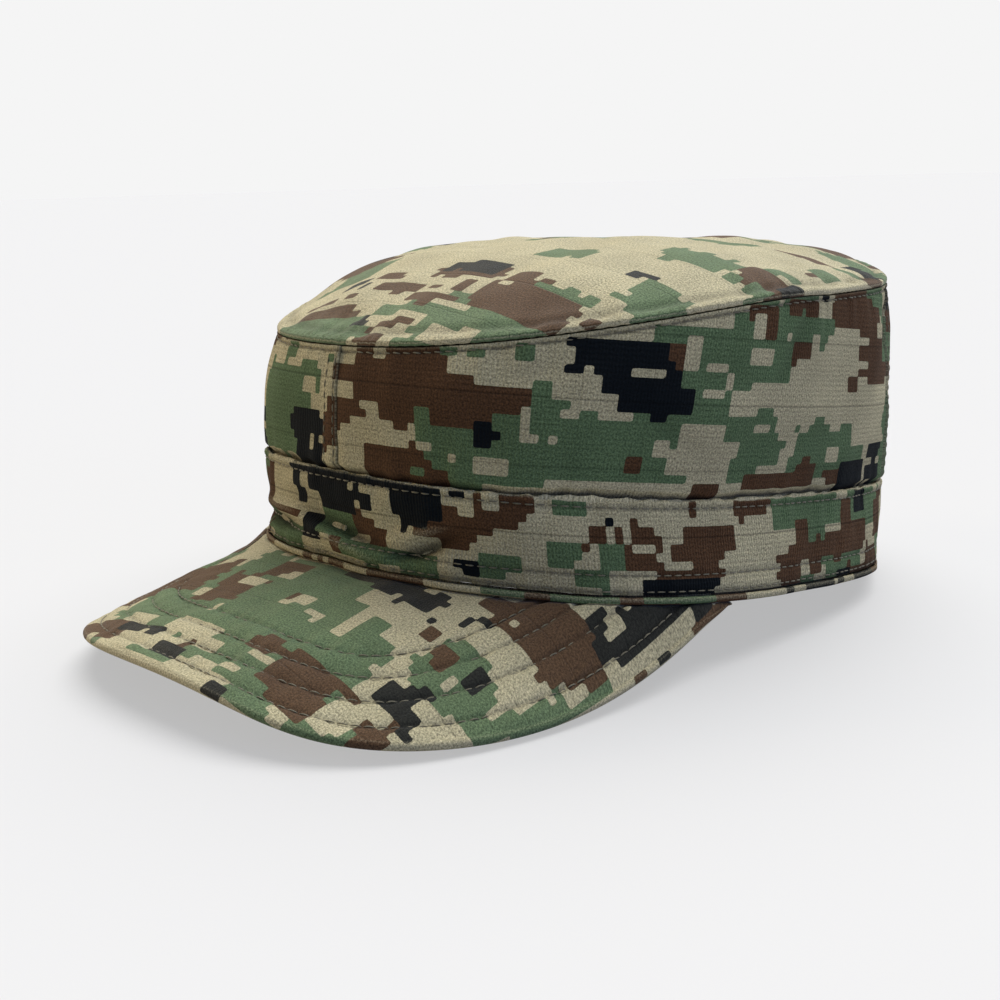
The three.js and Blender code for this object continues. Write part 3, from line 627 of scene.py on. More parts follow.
peak_chart = [
    (GREEN, -62, 104, 12, 14), (BROWN, -66, 86, 9, 7), (NAVY, -72, 70, 6, 7), (GREEN, -78, 60, 5, 10),
    (BROWN, -56, 126, 8, 6), (NAVY, -48, 110, 5, 4), (TAN, -64, 98, 4, 3), (NAVY, 18, 99, 12.5, 3),
    (GREEN, -4, 128, 42, 16.5), (GREEN, -7, 108, 26, 9), (GREEN, 22, 142, 22.5, 11.5),
    (GREEN, -13, 154, 22, 1), (GREEN, 37, 150, 12, 5), (GREEN, 51, 146, 8, 6), (GREEN, 26, 126, 21, 8),
    (TAN, -31, 141, 5, 1.5), (TAN, -7, 140, 8, 3), (TAN, 1, 144, 7, 2), (TAN, 11, 150, 4, 1),
    (TAN, 20, 148, 3, 1), (TAN, 13, 154, 11, 2), (TAN, -12, 130, 1, 2), (TAN, -24, 154, 7.5, 1),
    (TAN, 42, 151, 2, 1), (TAN, -49, 148, 3, 1), (BROWN, -41, 148, 14, 3.5), (NAVY, -22, 146, 8, 1),
    (NAVY, -4, 151, 5, 1), (BROWN, -1, 146, 1, 1), (NAVY, 23, 155, 3, 1), (BROWN, -57, 114, 22.5, 9),
    (BROWN, -21, 120, 7, 8), (BROWN, -14, 106, 6, 4), (TAN, -18, 115, 3.5, 2), (TAN, -10, 108, 2, 1),
    (TAN, -29, 124, 2, 2), (BROWN, -75, 116, 3.5, 9), (BROWN, 19, 136, 4, 3), (TAN, 22, 141, 4, 1),
    (BROWN, 37, 140, 9, 6), (BROWN, 42, 134, 11, 1.5), (BROWN, 41, 145, 5, 2.5), (BROWN, 29, 136, 6.5, 1.5),
    (TAN, 52, 140, 4.5, 4.5), (TAN, 60, 129, 8.5, 9), (BROWN, 61, 139, 3, 3.5), (BROWN, 58, 137, 1, 2),
    (BROWN, 62, 133, 1, 2), (TAN, 54, 129, 1.5, 4), (TAN, 39, 106, 7, 5), (TAN, 47, 110, 5, 4),
    (TAN, 34, 110, 6, 1), (TAN, 29, 120, 2.5, 3), (TAN, 29, 110, 1.5, 8), (TAN, 48, 122, 1, 1.5),
    (NAVY, 15, 99, 9, 2), (NAVY, 35, 100, 6, 4), (TAN, 6, 119, 2, 1), (BROWN, 4, 117, 1, 1),
    (TAN, 8, 116, 2, 1.5), (TAN, 17, 121, 3, 1), (NAVY, 55, 127, 3, 3), (NAVY, 60, 128, 3, 2),
    (NAVY, 60, 122, 3, 3), (NAVY, 64, 122, 1, 2), (NAVY, 65, 129, 1, 2.5), (NAVY, 67, 124, 1, 1),
    (TAN, 62, 123, 1, 1.5), (TAN, 67, 96, 11, 15), (TAN, 74, 95, 7.5, 17), (TAN, 72, 108, 9, 17),
    (TAN, 72, 120, 5, 9), (TAN, 72, 124, 3, 6), (TAN, 80, 77, 3, 9), (TAN, 56, 102, 7.5, 10),
    (GREEN, 58, 112, 7, 7), (GREEN, 66, 112, 5, 6), (NAVY, 65, 109, 1, 2), (TAN, 62, 115, 1, 1.5),
    (BROWN, 52, 89, 4, 3), (BROWN, 62, 82, 7.5, 8), (BROWN, 68, 84, 7, 10), (BROWN, 73, 84, 4.5, 8),
    (BROWN, 76, 84, 2, 3.5), (BROWN, 57, 92, 2, 1), (TAN, 69, 70, 5, 7), (NAVY, 73, 72, 2, 3),
    (NAVY, 77, 75, 2, 2.5), (NAVY, 78, 55, 5, 13), (NAVY, 79, 62, 2, 10), (NAVY, 81, 70, 1, 3.5),
    (TAN, 74, 70, 1, 1.5), (TAN, 76, 72, 1, 2), (TAN, 83, 58, 1, 10), (TAN, 83, 72, 1, 9),
    (BROWN, 84, 41, 1, 7), (BROWN, 84, 70, 1, 2), (NAVY, 84, 61, 1, 2), (BROWN, 80, 82, 1, 2.5),
    (GREEN, 74, 116, 1, 2.5), (GREEN, 77, 112, 2, 6.5), (GREEN, 80, 101, 2, 8), (GREEN, 82, 89, 1, 9),
    (NAVY, 44, 104, 1, 1), (NAVY, 50, 99, 1, 1.5), (NAVY, 54, 96, 2, 1), (BROWN, 48, 108, 1.5, 2),
    (BROWN, 55, 111, 2, 2),
]
print("boxes charted:", len(wall_chart), len(band_chart), len(top_chart), len(peak_chart))


# %% Laying a chart on a piece
def repeated(chart):
    """The chart laid beside itself, often enough to go round the cap."""
    return [(ink, along + k * print_repeat, up, half_along, half_up)
            for k in (-2, -1, 0, 1, 2) for ink, along, up, half_along, half_up in chart]


def tones_of(chart, weave, seed):
    low = weave.reshape(-1, 2).min(0) - 3 * cell
    high = weave.reshape(-1, 2).max(0) + 3 * cell
    low = cell * np.floor(low / cell)
    inks = printed(chart, low, high, seed)
    shares = [round(float((inks == ink).mean()), 2) for ink in (TAN, GREEN, BROWN, NAVY)]
    print("shares of tan, green, brown and navy:", shares)
    return tones_at(inks, low, weave)


# %% [markdown]
# ## Slack, puckers and stitched grooves
# Sewn cloth is never as smooth as a formula. It has slack waves a few centimetres long, small
# puckers along each seam, where the thread draws it in, and a narrow groove under each row of
# stitches. Simulating all that would be slow and would wander from the solids, so it is added as
# small moves square to the surface. The waves are worked out from the place in space, so pieces
# that lie on each other move together, and their numbers are seeded and come out the same each time.

# %% Small moves of the cloth
def waves(points, reach, seed, count=24):
    """Seeded waves about `reach` mm long, mostly between -1 and 1, at points in space."""
    rng = np.random.default_rng(seed)
    total = np.zeros(points.shape[:-1])
    for _ in range(count):
        direction = rng.normal(size=3)
        direction *= 2 * np.pi / (reach * rng.uniform(0.7, 1.5)) / np.linalg.norm(direction)
        total += np.cos(points @ direction + rng.uniform(0, 2 * np.pi))
    return total / math.sqrt(count)


def puckers(distance, length, seed, closed=None, count=9):
    """Seeded waves along a seam, about `length` mm long. On a closed seam they meet at its ends."""
    rng = np.random.default_rng(seed)
    total = np.zeros(np.shape(distance))
    for _ in range(count):
        cycles = 1 / (length * rng.uniform(0.6, 1.7))
        if closed:
            cycles = round(cycles * closed) / closed
        total += np.cos(2 * np.pi * cycles * distance + rng.uniform(0, 2 * np.pi))
    return total / math.sqrt(count)


def slack(points):
    """The waves that all the pieces share."""
    return 0.5 * waves(points, 38, 3) + 0.16 * waves(points, 14, 4)


stitch_pitch = 3.1
print("a stitch every", stitch_pitch, "mm")

# %% [markdown]
# ## The crown wall
# Three panels make the wall: one on each side, which meet in a seam at the middle of the front, and
# one behind. At each of these seams one edge is turned under and sewn down over its neighbour with
# two rows of stitches, which leaves a flat ridge about 7 mm wide. The seam could be a separate
# strip, but it is the same cloth, so it is a step in the panel itself. Each small move below is a
# depth in mm times a bell, which fades out over its second number, also in mm.

# %% Crown wall
top_row_below = 1.3
turned_width, turned_rows = 6.2, (1.4, 6.0)
fold_lines = [
    # mm round, mm up, tilt in degrees, half length, half width, depth in mm: soft folds over the peak
    (1, 11.4, -8, 20, 1.8, 2.8), (3, 7.4, -11, 20, 2.0, -1.3), (29, 9.8, 24, 8, 1.5, 3.4),
    (28, 13.8, 17, 11, 1.9, -1.5), (37, 6.6, 10, 9, 1.6, -0.8), (-36, 8.2, 2, 17, 2.0, 3.4),
    (-34, 12.8, 2, 17, 2.2, -1.3), (-16, 17.5, -2, 12, 2.4, 0.9), (46, 5.5, -4, 22, 5.0, 0.8),
    (27, 32, -14, 12, 2.4, 0.4), (62, 60, 24, 12, 2.6, 0.4),
    (96, 44, -30, 16, 3.4, 0.4), (132, 66, 64, 15, 3.4, 0.7),
]


def folds(around, up):
    """How far the small folds draw the cloth in, in mm."""
    depth = 0.0
    for centre, height, tilt, half_length, half_width, fold_depth in fold_lines:
        turn = math.radians(tilt)
        along = (around - centre) * math.cos(turn) + (up - height) * math.sin(turn)
        across = (up - height) * math.cos(turn) - (around - centre) * math.sin(turn)
        depth = depth + fold_depth * bell(along, half_length) * bell(across, half_width)
    return depth


def moved(points, distance, middle=(0, 0, 40)):
    return points + outward(points, np.array(middle)) * distance[..., None]


def crown_inset(above):
    """The wall runs down inside the band and swells out to the band's face just above it, in mm."""
    return (band_thickness + sewn_gap) * (1 - smooth((above - 0.2) / 2.4))


def wall_panel(name, node, from_degrees, to_degrees, start_over, end_over):
    start, end = around_at(math.radians(from_degrees)), around_at(math.radians(to_degrees))
    places = thirds(start + sewn_gap / 2, end - sewn_gap / 2, 0.62)
    lowest = (binding_height + sewn_gap) / band_height
    levels = np.concatenate([np.linspace(lowest, 0.9, 7)[:-1], thirds(0.9, 2, 0.0105)])
    around, level = np.meshgrid(places, levels)
    angle = angle_at(around)
    inset = crown_inset((level - 1) * (seam_height(angle) - band_height))
    base = wall_point(angle, level, inset)
    height, top = base[..., 2], seam_height(angle)
    below, above = top - height, np.maximum(height - band_height, 0)

    move = slack(base) * smooth(below / 12) - folds(around, height)
    move += 0.34 * puckers(around, 9, 31, whole_round) * np.exp(-below / 7) * smooth(below / 2)
    move += 0.26 * puckers(around, 8, 32, whole_round) * np.exp(-above / 6) * (level > 1)
    move += 0.1 * bell(below - 0.4, 0.4) - 0.45 * bell(below - top_row_below, 0.5)
    # Pale marks here are partly wear and partly painted highlight on the edges; the darkening is painted shade
    # under the band's ledge, in the groove under the top stitches, in the folds and along the seams.
    wear_and_highlight = 0.45 * bell(below - 0.2, 0.35)
    painted_shade = 0.9 * bell(above - 0.3, 0.9) * (level > 1) + 0.6 * bell(below - top_row_below, 0.5)
    painted_shade += 0.3 * np.clip(folds(around, height), 0, 2)
    for edge, over in ((start, start_over), (end, end_over)):
        away = np.abs(around - edge)
        move += 0.14 * puckers(height, 11, 33) * np.exp(-away / 8) * smooth(below / 6)
        if over:
            move += 0.35 * (1 - smooth((away - turned_width) / 1.6)) - 0.1 * bell(away, 0.4)
            move += -0.26 * bell(away - turned_rows[0], 0.6) - 0.15 * bell(away - turned_rows[1], 0.6)
            wear_and_highlight = wear_and_highlight + 0.5 * bell(away - 0.1, 0.3) + 0.1 * bell(away - 6.8, 0.6)
            painted_shade += 0.5 * bell(away - turned_rows[0], 0.5)
        else:
            move += -0.15 * bell(away, 0.7) - 0.1 * bell(away, 3)
            painted_shade += 0.8 * bell(away, 0.6)
    outer = moved(base, move)
    inner = moved(wall_point(angle, level, inset + cloth_thickness), move)[::3, ::3]
    weave = np.stack([around, height], -1)
    panel = shell(name, outer, inner, weave, tones_of(repeated(wall_chart), weave, 21), wear_and_highlight, painted_shade)
    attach(panel, "root")
    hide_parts(node)
    lines = {"places": places, "levels": levels, "grid": outer}
    return panel, lines


left_wall, left_lines = wall_panel("left_wall_cloth", "side_panel_left", 0, back_seam_degrees, False, False)
right_wall, right_lines = wall_panel("right_wall_cloth", "side_panel_right", -back_seam_degrees, 0,
                                     False, True)
back_wall, back_lines = wall_panel("back_wall_cloth", "back_panel", back_seam_degrees, 360 - back_seam_degrees,
                                   True, True)

# %% [markdown]
# ## The band
# The band is a strip folded double. Its folded top edge lies over the crown wall as a small ledge
# and is sewn down 2 mm below the fold, and more rows of stitches run above its lower edge. The
# ledge needs a real rounded edge, because it catches the light all round the cap, so the grid of
# points runs over the edge and down behind it.

# %% Band
band_rows = [24.9, 7.7, 3.5]
edge_radius = band_thickness / 2
straight = thirds(binding_height + sewn_gap, band_height - edge_radius, 0.55)
over_edge = np.linspace(0, np.pi, 7)[1:]
band_heights = np.concatenate([straight, band_height - edge_radius + edge_radius * np.sin(over_edge)])
band_insets = np.concatenate([0 * straight, edge_radius * (1 - np.cos(over_edge))])
band_places = thirds(around_at(-math.pi), around_at(math.pi), 0.62)
around, height = np.meshgrid(band_places, band_heights)
_, inset = np.meshgrid(band_places, band_insets)
base = wall_point(angle_at(around), height / band_height, inset)
from_edge, from_foot = band_height - height, height - binding_height
move = slack(base) - folds(around, height)
move += 0.26 * puckers(around, 8, 41, whole_round) * np.exp(-from_edge / 5)
move += 0.22 * puckers(around, 9, 42, whole_round) * np.exp(-from_foot / 5)
move += 0.10 * np.cos(2 * np.pi * around / stitch_pitch) * bell(from_edge - 0.8, 1.0)
move += 0.15 * bell(from_edge - 1.0, 1.0) + 0.12 * waves(base, 7, 43)
for row in band_rows:
    move -= 0.34 * bell(height - row, 0.55)
band_outer = moved(base, move)
band_inner = moved(wall_point(angle_at(around), height / band_height, np.maximum(inset, band_thickness)), move)
band_inner = band_inner[::3, ::3]
weave = np.stack([around, height + np.maximum(inset, 0)], -1)
# The folded edge and the fold ridges are painted pale, partly as wear and partly as painted highlight; painted
# shade darkens the folds, the stitched grooves and the foot above the binding.
wear_and_highlight = 0.8 * bell(from_edge - 0.1, 0.35) + 0.35 * np.clip(-folds(around, height), 0, 1.5)
painted_shade = 0.30 * np.clip(folds(around, height), 0, 3)
painted_shade = painted_shade + sum(0.45 * bell(height - row, 0.6) for row in band_rows)
painted_shade = painted_shade + 0.5 * bell(from_foot - 0.2, 0.8)
band_cloth = shell("band_cloth", band_outer, band_inner, weave, tones_of(repeated(band_chart), weave, 22),
                   wear_and_highlight, painted_shade)
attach(band_cloth, "root")
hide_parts("band")

# %% [markdown]
# ## The rolled binding
# A tape of the same cloth is rolled round the raw edges of the band and the wall. It could be a
# swept tube, but a tape open at the top is what it is, so a C-shaped section goes round the cap.

# %% Binding
tape_thickness = 0.6
roll = np.radians(np.linspace(140, 405, 28))
binding_places = thirds(around_at(-math.pi), around_at(math.pi), 1.0)
around, turn = np.meshgrid(binding_places, roll)
half_width = (band_thickness + sewn_gap + cloth_thickness) / 2


def binding_section(around, turn, thinner):
    up = binding_height / 2 + (binding_height / 2 - thinner) * signed_power(np.sin(turn), 2 / 2.6)
    inset = half_width - (half_width + 0.4 - thinner) * signed_power(np.cos(turn), 2 / 2.6)
    return wall_point(angle_at(around), up / band_height, inset)


base = binding_section(around, turn, 0)
flat_out = outward(wall_point(angle_at(around), turn / 50, 0), np.zeros(3))
follow = flat_out * (slack(base) - 0.5 * folds(around, base[..., 2]))[..., None]
binding_outer = base + follow
binding_inner = (binding_section(around, turn, tape_thickness) + follow)[::3, ::3]
weave = np.stack([around + 90, 12 + (turn - roll[0]) * 1.8], -1)
# The roll's most outward part is painted pale, partly as wear and partly as painted highlight.
wear_and_highlight = 0.45 * bell(turn - np.radians(375), 0.5) + 0.05
edge_tape = shell("binding_cloth", binding_outer, binding_inner, weave,
                  tones_of(repeated(band_chart), weave, 23), wear_and_highlight, 0 * wear_and_highlight)
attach(edge_tape, "root")
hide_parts("edge_binding")

# %% [markdown]
# ## The top
# The top is one round of cloth, domed by what holds the cap in shape. Its edge is turned and stands
# over the wall as a thin welt. Rings of points would crowd in the middle, so a square grid is bent into
# a round one, which keeps its cells of one size; its last lines run over the edge.

# %% Top
dome_radius = 90.0
welt_drop, welt_bulge = 0.75, 0.3
half_lines = np.concatenate([np.linspace(0, 84, 124), np.linspace(84, dome_radius, 13)[1:]])
welt_steps = 6
lines = np.concatenate([half_lines, dome_radius + np.arange(1, welt_steps + 1)])
lines = np.concatenate([-lines[:0:-1], lines])
across, along = np.meshgrid(lines, lines)
larger = np.maximum(np.abs(across), np.abs(along))
side_first = np.abs(across) >= np.abs(along)
ratio = np.where(side_first, along, across) / np.where(side_first, np.where(across == 0, 1, across), along)
first, second = np.cos(np.pi / 4 * ratio), np.sin(np.pi / 4 * ratio)
sign = np.where(side_first, np.sign(across), np.sign(along))
to_left, to_back = sign * np.where(side_first, first, second), sign * np.where(side_first, second, first)
angle = np.arctan2(to_left, -to_back)
radius = np.minimum(larger / dome_radius, 1)
base = top_point(angle, radius)
rim = wall_point(angle, np.full_like(radius, 2.0), 0)
out = np.stack([rim[..., 0] / seam_half_width ** 2, (rim[..., 1] + seam_forward) / seam_half_length ** 2,
                0 * radius], -1)
out /= np.maximum(np.linalg.norm(out, axis=-1, keepdims=True), 1e-9)
over = np.maximum(larger - dome_radius, 0) / welt_steps * np.pi
around = around_at(angle)
from_rim = (1 - radius) * 88
move = (slack(base) + 0.35 * waves(base, 22, 61)) * smooth(from_rim / 14)
move += 0.42 * puckers(around, 11, 62, whole_round) * np.exp(-from_rim / 8) * smooth(from_rim / 2.5)
move += 0.2 * bell(from_rim - 0.8, 1.0) - 0.5 * bell(from_rim - 3.2, 1.6)
move += 0.10 * np.cos(2 * np.pi * around / stitch_pitch) * bell(from_rim - 0.6, 1.2)
dome = moved(base, move, (0, 0, 0))
top_outer = dome + out * (welt_bulge * np.sin(over) - 0.12 * smooth((3 - from_rim) / 3))[..., None]
top_outer[..., 2] -= welt_drop * (1 - np.cos(over))
top_inner = top_point(angle, radius * 0.995)
top_inner = (top_inner - [0, 0, cloth_thickness] + (dome - base) * smooth(from_rim / 5)[..., None])[::3, ::3]
weave = base[..., :2] + out[..., :2] * (over * welt_drop)[..., None]
# The welt is painted pale, partly as wear and partly as painted highlight; painted shade darkens the dip just
# inside the seam.
wear_and_highlight = 0.7 * bell(over - 1.6, 0.45) * (over > 0)
painted_shade = 0.35 * bell(from_rim - 3.0, 1.6)
top_cloth = shell("top_cloth", top_outer, top_inner, weave, tones_of(top_chart, weave, 24), wear_and_highlight, painted_shade)
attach(top_cloth, "root")
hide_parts("top_panel")

# %% [markdown]
# ## The peak
# The peak is board between two layers of cloth. Four rows of stitches follow its edge, 7 mm apart,
# and the cloth stands slightly proud between them. It falls ahead of the cap, more at its sides.
# Both faces show, so both get a fine grid, and the outer one runs round the edge to the lower. The
# inner edge runs on under the crown and turns up behind the binding, as a seam allowance does, so no
# gap shows there, and the board thins out towards the two ends.

# %% Peak
corner_sag, corner_across, corner_reach, corner_run = 2.8, 55, 26, 55


def ring_forward(across):
    share = np.minimum(np.abs(across) / ring_half_width, 1)
    return ring_half_length * (1 - share ** ring_squareness) ** (1 / ring_squareness)


def peak_height(across, forward):
    ahead = np.maximum(forward - ring_forward(across), 0)
    side = np.abs(across / peak_half_width) ** peak_side_drop_power
    sag_share = ahead / peak_sag_place * np.exp(1 - ahead / peak_sag_place)
    sag = np.where(across < 0, peak_sag * sag_share * (across / peak_half_width) ** 2, 0)
    sag = sag + corner_sag * smooth(ahead / corner_run) * bell(across - corner_across, corner_reach)
    fall = peak_slope * ahead + peak_bow * ahead * ahead / 10
    return -sewn_gap - fall - sag - peak_side_drop * side * (1 - np.exp(-ahead / peak_side_drop_run))


def peak_edge(turn, inset):
    across, back = oblong(turn, ring_half_length + peak_reach - peak_side_start - inset,
                          peak_half_width - inset, peak_squareness)
    return across, peak_side_start - back


turns = np.linspace(math.pi / 4, math.pi, 20000)
across, forward = peak_edge(turns, 0)
ring_share = (np.abs(across / ring_half_width) ** ring_squareness
              + np.abs(forward / ring_half_length) ** ring_squareness)
end_turn = turns[np.argmax(ring_share < 1)]
end_across, end_forward = peak_edge(end_turn, 0)
end_angle = math.atan2(signed_power(end_across / ring_half_width, ring_squareness / 2),
                       signed_power(end_forward / ring_half_length, ring_squareness / 2))
turns = np.linspace(-end_turn, end_turn, 6001)
edge_line = np.stack(peak_edge(turns, 0), -1)
edge_run = np.append(0, np.cumsum(np.linalg.norm(np.diff(edge_line, axis=0), axis=1)))
column_turns = np.interp(thirds(0, edge_run[-1], 0.72), edge_run, turns)
print("round the edge of the peak:", round(edge_run[-1], 1), "mm")

seam_allowance, turned_up = 5.6, 1.6
thin_end, thin_run = 0.3, 14
edge_steps = 9
rows = np.concatenate([np.linspace(0, 1, 88), 1 + np.arange(1, edge_steps + 1)])
turn, row = np.meshgrid(column_turns, rows)
share = np.minimum(row, 1)
run = np.interp(turn, turns, edge_run)
half_thick = thin_end + (peak_thickness / 2 - thin_end) * smooth(np.minimum(run, edge_run[-1] - run) / thin_run)
inner_across, inner_back = oblong(turn / end_turn * end_angle, ring_half_length - seam_allowance,
                                  ring_half_width - seam_allowance, ring_squareness)
outer_across, outer_forward = peak_edge(turn, half_thick)
across = between(inner_across, outer_across, share)
forward = between(-inner_back, outer_forward, share)
out = np.stack([np.gradient(outer_forward, axis=1), -np.gradient(outer_across, axis=1)], -1)
out /= np.linalg.norm(out, axis=-1, keepdims=True)
from_centre = np.stack([outer_across, outer_forward - peak_side_start], -1)
out *= np.sign((out * from_centre).sum(-1, keepdims=True) + 1e-9)
from_edge = np.full(across.shape, 1e9)
for point in edge_line[::12]:
    from_edge = np.minimum(from_edge, np.hypot(across - point[0], forward - point[1]))
edge_over = np.maximum(row - 1, 0) / edge_steps * np.pi

peak_rows, peak_row_gap = [4.9, 11.8, 18.7, 25.6], 6.9
move = 0.32 * waves(np.stack([across, forward, 0 * across], -1), 26, 71)
move += 0.10 * waves(np.stack([across, forward, 0 * across], -1), 7, 72)
for stitched in peak_rows:
    move -= 0.45 * bell(from_edge - stitched, 0.6)
    move += 0.16 * puckers(run, 7, 73 + int(stitched)) * bell(from_edge - stitched, 2.6)
move += 0.25 * np.sin(np.pi * np.clip((from_edge - peak_rows[0]) / peak_row_gap, -0.7, 3)) ** 2
inside_ring = 1 - (np.abs(across / ring_half_width) ** ring_squareness
                   + np.abs(forward / ring_half_length) ** ring_squareness)
tucked = smooth(inside_ring / 0.12)
move *= smooth(from_edge / 2.5) * (1 - tucked)
height = peak_height(across, forward) + turned_up * smooth((inside_ring - 0.06) / 0.06)
base = np.stack([across, -forward, height], -1)
lift = moved(base, move * (edge_over == 0), (0, 0, -400))
peak_outer = lift.copy()
peak_outer[..., 0] += out[..., 0] * half_thick * np.sin(edge_over)
peak_outer[..., 1] -= out[..., 1] * half_thick * np.sin(edge_over)
peak_outer[..., 2] -= half_thick * (1 - np.cos(edge_over))
under = base - np.stack([0 * height, 0 * height, 2 * half_thick], -1)
under_move = sum(0.35 * bell(from_edge - stitched, 0.75) for stitched in peak_rows)
under[..., 2] += under_move * (edge_over == 0)
weave = np.stack([across + out[..., 0] * half_thick * edge_over,
                  forward + out[..., 1] * half_thick * edge_over], -1)
# The rounded edge is painted pale, partly as wear and partly as painted highlight; painted shade darkens the
# stitched grooves.
wear_and_highlight = 0.3 * bell(edge_over - 0.7, 0.5) * (edge_over > 0)
painted_shade = sum(0.35 * bell(from_edge - stitched, 0.55) for stitched in peak_rows) * (edge_over == 0)
peak_cloth = shell("peak_cloth", peak_outer, under, weave, tones_of(peak_chart, weave, 25),
                   wear_and_highlight, painted_shade, step=1)
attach(peak_cloth, "root")
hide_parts("peak")

# %% [markdown]
# ## Stitches
# The seams are sewn with spun thread 0.4 mm thick, about eight stitches to the inch. At this
# distance each stitch is two or three pixels long, yet a painted dash has no shadow and no height,
# so each is a small bent rod that dips into its groove at both ends. All the rods of a seam are one
# mesh.

# %% Thread shapes
thread_radius = 0.2
stitch_share = 0.84


def sew(name, rows, slant=0.0):
    """One mesh of stitches along rows. Each row is a path, in mm in the cap's frame, and the way out."""
    steps, sides = np.linspace(0, 1, 5), 6
    corners = np.linspace(0, 2 * np.pi, sides, endpoint=False)
    points = []
    for path, out in rows:
        run = np.append(0, np.cumsum(np.linalg.norm(np.diff(path, axis=0), axis=1)))
        starts = np.arange(0.1, run[-1] / stitch_pitch - 1) * stitch_pitch
        places = starts[:, None] + steps * stitch_share * stitch_pitch
        centre = np.stack([np.interp(places, run, path[:, k]) for k in range(3)], -1)
        normal = np.stack([np.interp(places, run, out[:, k]) for k in range(3)], -1)
        along = np.gradient(centre, axis=1)
        side = np.cross(along, normal)
        side /= np.linalg.norm(side, axis=-1, keepdims=True)
        lift = 0.24 * np.sin(np.pi * steps) - 0.14
        centre = centre + normal * lift[:, None] + side * (slant * (steps - 0.5))[:, None]
        thick = thread_radius * np.sqrt(1 - 0.8 * (2 * steps - 1) ** 6)
        ring = normal[:, :, None] * np.cos(corners)[:, None] + side[:, :, None] * np.sin(corners)[:, None]
        points.append((centre[:, :, None] + ring * thick[:, None, None]).reshape(-1, 3))
    points = np.concatenate(points)
    count = len(points) // (len(steps) * sides)
    faces = []
    for k in range(count):
        first = k * len(steps) * sides
        for i in range(len(steps) - 1):
            a = first + i * sides
            faces += [(a + j, a + (j + 1) % sides, a + sides + (j + 1) % sides, a + sides + j)
                      for j in range(sides)]
        last = first + (len(steps) - 1) * sides
        faces += [tuple(range(first + sides - 1, first - 1, -1)), tuple(range(last, last + sides))]
    mesh = bpy.data.meshes.new(name)
    mesh.from_pydata(at_rest(points).tolist(), [], faces)
    mesh.polygons.foreach_set("use_smooth", np.ones(len(faces), bool))
    seam = bpy.data.objects.new(name, mesh)
    bpy.context.scene.collection.objects.link(seam)
    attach(seam, "root")
    print(name, "has", count, "stitches")
    return seam


def on_grid(grid, rows, columns, at_rows, at_columns):
    """Places on a grid of points, by its row and column values, and the way out at each."""
    r = np.clip(np.interp(at_rows, rows, np.arange(len(rows))), 0, len(rows) - 1.001)
    c = np.clip(np.interp(at_columns, columns, np.arange(len(columns))), 0, len(columns) - 1.001)
    i, j = r.astype(int), c.astype(int)
    u, v = (r - i)[:, None], (c - j)[:, None]
    out = outward(grid, np.array([0, 0, 40.0]))
    return tuple(between(between(field[i, j], field[i, j + 1], v),
                         between(field[i + 1, j], field[i + 1, j + 1], v), u) for field in (grid, out))


# %% Sewing the seams
def wall_row(lines, below):
    """A row of stitches on a wall panel, that far below the seam round the top."""
    places = np.linspace(lines["places"][0], lines["places"][-1], 400)
    top = seam_height(angle_at(places))
    return on_grid(lines["grid"], lines["levels"], lines["places"], 1 + (top - below - band_height)
                   / (top - band_height), places)


def upright_row(lines, at_place):
    """A row of stitches up a wall panel."""
    levels = np.linspace(1.03, 1.97, 120)
    return on_grid(lines["grid"], lines["levels"], lines["places"], levels, np.full(len(levels), at_place))


panels = (left_lines, right_lines, back_lines)
top_seam = sew("top_seam_stitches", [wall_row(lines, top_row_below) for lines in panels], slant=0.3)
front_end = right_lines["places"][-1]
front_seam = sew("front_seam_stitches", [upright_row(right_lines, front_end - away) for away in turned_rows])
back_places = back_lines["places"]
back_seams = sew("back_seam_stitches", [upright_row(back_lines, place) for place in (
    *(back_places[0] + away for away in turned_rows), *(back_places[-1] - away for away in turned_rows))])
straight_rows = band_heights[:len(straight)]
band_seams = sew("band_stitches", [
    on_grid(band_outer[:len(straight)], straight_rows, band_places, np.full(900, row),
            np.linspace(band_places[0], band_places[-1], 900)) for row in band_rows])

peak_seams = []
for stitched in peak_rows:
    shrunk = edge_line[::8]
    edge_out = np.stack([np.gradient(shrunk[:, 1]), -np.gradient(shrunk[:, 0])], -1)
    edge_out /= np.linalg.norm(edge_out, axis=-1, keepdims=True)
    edge_out *= np.sign((edge_out * (shrunk - [0, peak_side_start])).sum(-1, keepdims=True) + 1e-9)
    row_line = shrunk - edge_out * stitched
    outside = ((np.abs(row_line[:, 0] / ring_half_width) ** ring_squareness
                + np.abs(row_line[:, 1] / ring_half_length) ** ring_squareness) > 1.0) & (row_line[:, 1] > 0)
    row_line = row_line[outside]
    row_height = peak_height(row_line[:, 0], row_line[:, 1]) - 0.35
    row_points = np.stack([row_line[:, 0], -row_line[:, 1], row_height], -1)
    row_out = np.tile([0.0, -0.25, 0.97], (len(row_points), 1))
    peak_seams.append((row_points, row_out))
peak_stitches = sew("peak_stitches", peak_seams)

# %% [markdown]
# ## Printed ripstop cloth
# The cloth is a dyed and printed blend of cotton and nylon. Lines of thicker yarn stand in it, so a
# tear stops there, and finer ribs run between them. It is matt, with a faint pale bloom of fibre
# ends where light grazes it. The inks sink in, so they share the weave. The material reads the ink
# heights stored on the mesh, roughens their edges by less than a yarn, and adds ribs, mottled grain
# and bump. It also paints light into the colour: pale edges and fold ridges, partly wear and partly
# painted highlight, and painted shade in folds, stitched grooves, seams and under the band's ledge.
# The real yarns are 0.3 mm apart. They are drawn as ribs 1.4 mm apart, about as fine as a picture
# of this size can show. The top and the peak are pressed flat, so they have fainter ribs and more
# bloom than the wall, and a painted haze of grazing light pales their inks a little.

